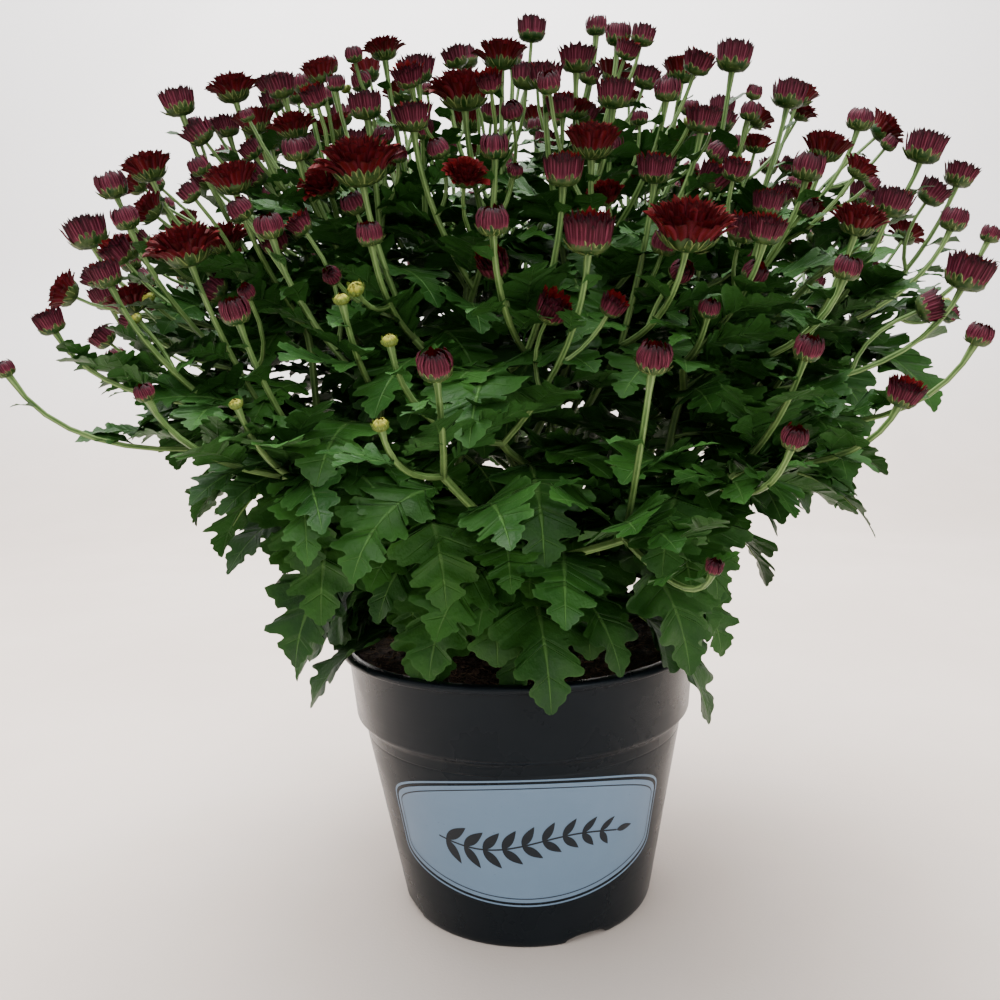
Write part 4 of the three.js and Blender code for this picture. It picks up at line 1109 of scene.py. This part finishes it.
def dressShoot(plant):
    piles = {part: newPile() for part in shootParts}
    number, curve = plant["index"] + 1, plant["curve"]
    main = [plant["foot"] - upBy(depth) for depth in stemSet["buried"]] + bendPath(curve, 16)
    radii = np.linspace(stemSet["foot"], stemSet["crown"], len(main))
    addTube(piles["stems"], main, radii, 16, plant["index"] / len(shoots), kind=0.9,
            ribs=stemSet["ribs"], ribDepth=stemSet["ribDepth"])
    keys = itertools.count(1000 * number + 1)
    dressForks(piles, keys, curve[2], bendAlong(curve, 1), plant["forks"], stemSet["crown"])
    for spec in [*skirtLeaves(plant), *plant["leaves"]]:
        addLeaf(piles["leaves"], spec)
        addMidrib(piles["stems"], spec)
    for part, (material, slotName) in shootParts.items():
        if piles[part]["count"]:
            makePiece(f"{part}_{number}", piles[part], material, f"leafy_shoot_{number}")


def dressBlooms():
    stalks = [stalk for plant in shoots for stalk in plant["stalks"] if stalk["head"]["stage"] == "open"]
    for number, stalk in enumerate(stalks, 1):
        pile = newPile()
        addFlorets(pile, stalk["head"], bendAlong(stalk["curve"], 1))
        makePiece(f"florets_{number}", pile, floretRed, f"bloom_{number}")


for plant in shoots:
    dressShoot(plant)
print("shoots dressed")
dressBlooms()
print("blooms dressed")


potSet = {
    "height": 0.144, "rimRadius": 0.0972, "lipHeight": 0.0045, "collarTopRadius": 0.0931,
    "collarFootRadius": 0.0902, "collarFoot": 0.106, "bodyTopRadius": 0.0863, "bodyTop": 0.1025,
    "baseRadius": 0.0682, "wall": 0.0017, "skirtHeight": 0.005, "skirtWidth": 0.0026, "floor": 0.0017,
    "bevel": 0.0025, "ease": 0.001, "rounding": 0.0011, "mouldLine": 0.0965, "around": 180,
    "drains": {"count": 4, "radius": 0.005, "ring": 0.042},
    "notches": {"count": 4, "width": 0.024, "height": 0.0042, "bearing": -66},
}


def bodyRadius(height):
    share = (height - potSet["bevel"]) / (potSet["bodyTop"] - potSet["bevel"])
    return mix(potSet["baseRadius"], potSet["bodyTopRadius"], share)


def roundCorners(corners, reach, steps=3):  # each corner becomes a small arc of at most that reach
    points = [np.array(corners[0])]
    for before, at, after in zip(corners, corners[1:], corners[2:]):
        before, at, after = np.array(before), np.array(at), np.array(after)
        a, b = before - at, after - at
        cut = min(reach, 0.45 * np.linalg.norm(a), 0.45 * np.linalg.norm(b))
        bend = (at + unit(a) * cut, at, at + unit(b) * cut)
        points += bendPath(bend, steps)
    return np.array(points + [np.array(corners[-1])])


def onBody(height, inwards=0):
    return bodyRadius(height) - inwards, height


def potProfile():
    p, ease, inset, line = potSet, potSet["ease"], potSet["wall"], potSet["mouldLine"]
    base, body, collar = p["baseRadius"], p["bodyTopRadius"], p["collarFootRadius"]
    shoulder, rim = p["collarTopRadius"], p["rimRadius"]
    top, floor = p["height"], p["skirtHeight"] + p["floor"]
    inner, lip = base - ease - p["skirtWidth"], top - p["lipHeight"]
    return roundCorners([
        (0.0005, p["skirtHeight"]), (inner, p["skirtHeight"]), (inner, 0),
        (base - ease, 0), (base, p["bevel"]), onBody(0.0056), onBody(0.0066), onBody(0.012),
        onBody(line - 0.0006), onBody(line, 0.0003), onBody(line + 0.0006), (body, p["bodyTop"]),
        (collar, p["collarFoot"]), (shoulder, lip), (rim, lip + ease), (rim, top - ease), (rim - ease, top),
        (shoulder - inset, top), (collar - inset, p["collarFoot"] + ease),
        (body - inset, p["bodyTop"] + ease), (base - inset, floor), (0.0005, floor),
    ], p["rounding"])


def footLift(angle):  # how far the foot is cut up at each bearing
    notches = potSet["notches"]
    quarter = turn / notches["count"]
    off = (angle - math.radians(notches["bearing"]) + quarter / 2) % quarter - quarter / 2
    share = np.abs(off) * potSet["baseRadius"] / (notches["width"] / 2)
    return notches["height"] * np.sqrt(np.clip(1 - share ** 2.4, 0, 1))


def makePot():
    profile = potProfile()
    angle = np.arange(potSet["around"]) * turn / potSet["around"]
    rows = []
    for radius, height in profile:
        z = np.full(len(angle), height)
        if radius > potSet["baseRadius"] - 0.006 and height < potSet["skirtHeight"]:
            z = np.maximum(z, footLift(angle) + 0.00002 * height)
        rows.append(onAxis(radius, angle, z))
    pile = newPile()
    addGrids(pile, np.array(rows)[None], closed=True)
    pot = makePiece("pot_shell", pile, potPlastic, "pot")
    drains = potSet["drains"]
    for k in range(drains["count"]):
        bpy.ops.mesh.primitive_cylinder_add(vertices=32, radius=drains["radius"], depth=0.01)
        drill = bpy.context.active_object
        bearing = k * turn / drains["count"]
        drill.location = (drains["ring"] * math.cos(bearing), drains["ring"] * math.sin(bearing), 0.0055)
        bpy.context.view_layer.update()
        cut = pot.modifiers.new("drain", "BOOLEAN")
        cut.object, cut.operation, cut.solver = drill, "DIFFERENCE", "EXACT"
        bpy.context.view_layer.update()
        drilled = bpy.data.meshes.new_from_object(pot.evaluated_get(bpy.context.evaluated_depsgraph_get()))
        pot.modifiers.clear()
        pot.data = drilled
        bpy.data.objects.remove(drill)


# The panel printed on the pot: a long plate with bowed sides between two lines, and a garland on it.
panelSet = {
    "bearing": -90.5, "height": 0.060, "halfWidth": 0.0725, "endHeight": 0.0185, "bow": 0.0145, "corner": 10,
    "lift": 0.00012, "inkLift": 0.000216, "frameGap": 0.0014, "frameWidth": 0.0009,
    "innerGap": 0.0020, "innerWidth": 0.0005,
}
garlandSet = {
    "reach": 0.046, "sway": 0.0035, "halfWidth": 0.00045, "pairs": 9, "from": -0.042, "to": 0.036,
    "leaves": (0.0145, 0.010), "spread": 48, "leafHalf": 0.21,
}


def onPot(x, y, lift):  # x round the pot from the panel's middle, y up from it
    z = panelSet["height"] + y
    angle = math.radians(panelSet["bearing"]) + x / bodyRadius(panelSet["height"])
    return onAxis(bodyRadius(z) + lift, angle, z)


def plateHalf(inset):  # places along the plate, and half its height there
    share = np.sin(np.linspace(-math.pi / 2, math.pi / 2, 161))
    rounding = (1 - np.abs(share) ** panelSet["corner"]).clip(0) ** (1 / panelSet["corner"])
    half = (panelSet["endHeight"] + panelSet["bow"] * (1 - share ** 2) - inset) * rounding
    return (panelSet["halfWidth"] - inset) * share, half


def addOutline(pile, inset, width, lift):
    rows = []
    for edge in (inset, inset + width):
        x, half = plateHalf(edge)
        rows.append(onPot(np.append(x, x[::-1]), np.append(half, -half[::-1]), lift))
    addGrids(pile, np.stack(rows)[None], closed=True)


def addPrintedLeaf(pile, x, y, angle, length):
    along = np.linspace(0, 1, 12)[:, None]
    half = garlandSet["leafHalf"] * length * np.sin(along * math.pi) ** 0.8 * (1.1 - 0.5 * along)
    side = np.array([-1.0, 1.0])[None, :]
    px = x + along * length * math.cos(angle) - side * half * math.sin(angle)
    py = y + along * length * math.sin(angle) + side * half * math.cos(angle)
    addGrids(pile, onPot(px, py, panelSet["inkLift"])[None])


def makeGarland(pile):
    g = garlandSet
    bend = math.pi / g["reach"]
    x = np.linspace(-g["reach"], g["reach"], 60)
    half = np.array([-g["halfWidth"], g["halfWidth"]])[:, None]
    addGrids(pile, onPot(x + 0 * half, g["sway"] * np.sin(x * bend) + half, panelSet["inkLift"])[None])
    for share in np.linspace(0, 1, g["pairs"]):
        x = mix(g["from"], g["to"], share)
        slope = math.atan(g["sway"] * bend * math.cos(x * bend))
        for side in (-1, 1):
            angle = slope + side * math.radians(g["spread"])
            addPrintedLeaf(pile, x, g["sway"] * math.sin(x * bend), angle, mix(*g["leaves"], share))
    addPrintedLeaf(pile, g["reach"], 0, 0, g["leaves"][1])


def makePanel():
    panel, dark = newPile(), newPile()
    x, half = plateHalf(0)
    rows = np.linspace(-1, 1, 9)[:, None]
    addGrids(panel, onPot(x + 0 * rows, half * rows, panelSet["lift"])[None])
    frameWidth = panelSet["frameWidth"]
    addOutline(panel, -panelSet["frameGap"] - frameWidth, frameWidth, panelSet["lift"])
    addOutline(dark, panelSet["innerGap"], panelSet["innerWidth"], panelSet["inkLift"])
    makeGarland(dark)
    makePiece("pot_panel", panel, panelBlue, "pot")
    makePiece("pot_print", dark, printDark, "pot")


makePot()
makePanel()
print("pot and panel made")


soilSet = {
    "edge": 0.134, "middle": 0.137, "edgeRadius": 0.0898, "rings": 56, "around": 160, "gap": 0.0004,
    "clods": (0.0016, 60), "grains": (0.0009, 260),
    "crumbs": {"count": 560, "reach": 0.97, "size": (0.0008, 0.0022), "rough": 0.3},
    "fibres": {"count": 520, "reach": 0.93, "length": (0.003, 0.012), "radius": (0.00012, 0.00035),
               "lift": 0.0004},
}


def soilTop(x, y):
    share = min(math.hypot(x, y) / soilSet["edgeRadius"], 1)
    clods, grains = soilSet["clods"], soilSet["grains"]
    rough = clods[0] * noise.fractal(Vector((x, y, 0.3)) * clods[1], 1.0, 2.0, 3)
    fine = grains[0] * noise.fractal(Vector((x, y, 1.7)) * grains[1], 0.8, 2.0, 3)
    return mix(soilSet["middle"], soilSet["edge"], share ** 2) + rough + fine


def onSoil(draw, reach):  # a place on the soil
    r, a = soilSet["edgeRadius"] * reach * math.sqrt(draw.uniform()), draw.uniform(0, turn)
    return r * math.cos(a), r * math.sin(a)


def makeBed():
    pile, edge = newPile(), soilSet["edgeRadius"]
    angle = np.arange(soilSet["around"]) * turn / soilSet["around"]
    floor, inset = potSet["skirtHeight"] + potSet["floor"] + soilSet["gap"], potSet["wall"] + soilSet["gap"]
    low, high = potSet["baseRadius"] - inset, potSet["bodyTopRadius"] - inset
    below = ((0.0005, floor), (low, floor), (high, potSet["bodyTop"]), (edge - 0.002, 0.112))
    rows = [onAxis(r, angle, z) for r, z in below]
    for r in edge * np.linspace(1, 0.004, soilSet["rings"]):
        rows.append([(x, y, soilTop(x, y)) for x, y, z in onAxis(r, angle, 0)])
    addGrids(pile, np.array(rows)[None], closed=True)
    makePiece("soil_bed", pile, peat, "soil")


def makeCrumbs(draw):
    pile, crumbs = newPile(), soilSet["crumbs"]
    t, p = np.linspace(0.06, math.pi - 0.06, 5)[:, None], (np.arange(6) * turn / 6)[None, :]
    for k in range(crumbs["count"]):
        x, y = onSoil(draw, crumbs["reach"])
        size = crumbs["size"][0] + crumbs["size"][1] * draw.uniform() ** 3
        lump = size * (1 + crumbs["rough"] * draw.normal(0, 1, (5, 6)))
        a, b, c = draw.uniform(0.6, 1.3, 3)
        grid = lump[..., None] * np.stack([np.sin(t) * np.cos(p) * a, np.sin(t) * np.sin(p) * b,
                                           -np.cos(t) * c * 0.8 + 0 * p], -1)
        addGrids(pile, (grid + np.array([x, y, soilTop(x, y) + size * 0.2]))[None], closed=True)
    makePiece("peat_crumbs", pile, peat, "soil")


def makeFibres(draw):
    pile, fibres = newPile(), soilSet["fibres"]
    for k in range(fibres["count"]):
        start = np.array(onSoil(draw, fibres["reach"]))
        way, bow = draw.uniform(0, turn), draw.uniform(-1.5, 1.5)
        length = draw.uniform(*fibres["length"])
        path = []
        for t in np.linspace(-0.5, 0.5, 6):
            x, y = start + length * t * np.array([math.cos(way + bow * t), math.sin(way + bow * t)])
            if math.hypot(x, y) > soilSet["edgeRadius"] * soilSet["crumbs"]["reach"]:
                break
            path.append((x, y, soilTop(x, y) + fibres["lift"] * (1 + 2 * draw.uniform())))
        if len(path) > 2:
            addTube(pile, path, np.full(len(path), draw.uniform(*fibres["radius"])), 3, 0.5)
    makePiece("peat_fibres", pile, fibreBrown, "soil")


def makeSoil():
    draw = np.random.default_rng(7)
    makeBed()
    makeCrumbs(draw)
    makeFibres(draw)


makeSoil()
print("soil made")


cameraSet = {"place": (-0.0086, -0.5118, 0.2832), "pitch": 7.45, "roll": 1.97, "lens": 34.56}


def makeCamera():
    data = bpy.data.cameras.new("camera")
    data.lens, data.sensor_width = cameraSet["lens"], 36
    camera = addObject("camera", data)
    camera.matrix_world = (Matrix.Translation(cameraSet["place"])
                           @ Matrix.Rotation(math.radians(90 - cameraSet["pitch"]), 4, "X")
                           @ Matrix.Rotation(-math.radians(cameraSet["roll"]), 4, "Z"))
    bpy.context.scene.camera = camera


makeCamera()


floorSet = {"half": 3.0, "front": -3.0, "curveFrom": 1.15, "curve": 0.6, "top": 3.0}


def makeFloor():  # a pale cloth that runs up behind in one curve
    start, curve, half = floorSet["curveFrom"], floorSet["curve"], floorSet["half"]
    profile = [(floorSet["front"], 0.0), (start, 0.0)]
    for t in np.linspace(0, math.pi / 2, 16)[1:]:
        profile.append((start + curve * math.sin(t), curve * (1 - math.cos(t))))
    profile.append((profile[-1][0], floorSet["top"]))
    mesh = bpy.data.meshes.new("floor")
    points = [(x, y, z) for y, z in profile for x in (-half, half)]
    mesh.from_pydata(points, [], [(2 * k, 2 * k + 1, 2 * k + 3, 2 * k + 2) for k in range(len(profile) - 1)])
    mesh.polygons.foreach_set("use_smooth", [True] * len(mesh.polygons))
    mesh.materials.append(paleCloth)
    addObject("floor", mesh)


lightSet = {
    "sky": (tone(1.0, 0.985, 0.975), 0.78),
    "lamps": {
        "top": {"place": (-0.4, -0.7, 1.9), "aim": (0, 0, 0.2), "size": 1.8, "power": 50},
        "front": {"place": (0.9, -2.0, 1.0), "aim": (0, 0, 0.2), "size": 1.6, "power": 26},
        "back": {"place": (-0.8, 1.0, 1.6), "aim": (0, 0, 0.3), "size": 1.2, "power": 14},
        "backdrop": {"place": (0, 0.5, 2.2), "aim": (0, 1.75, 0.7), "size": 1.6, "power": 145},
    },
}


def makeLights():
    world = bpy.data.worlds.new("studio")
    bpy.context.scene.world = world
    world.use_nodes = True
    sky = world.node_tree.nodes["Background"]
    sky.inputs["Color"].default_value, sky.inputs["Strength"].default_value = lightSet["sky"]
    for name, lamp in lightSet["lamps"].items():
        data = bpy.data.lights.new(name, "AREA")
        data.size, data.energy = lamp["size"], lamp["power"]
        light = addObject(name, data)
        light.location = lamp["place"]
        toAim = Vector(lamp["aim"]) - Vector(lamp["place"])
        light.rotation_euler = toAim.to_track_quat("-Z", "Y").to_euler()


makeFloor()
makeLights()
print("studio made")
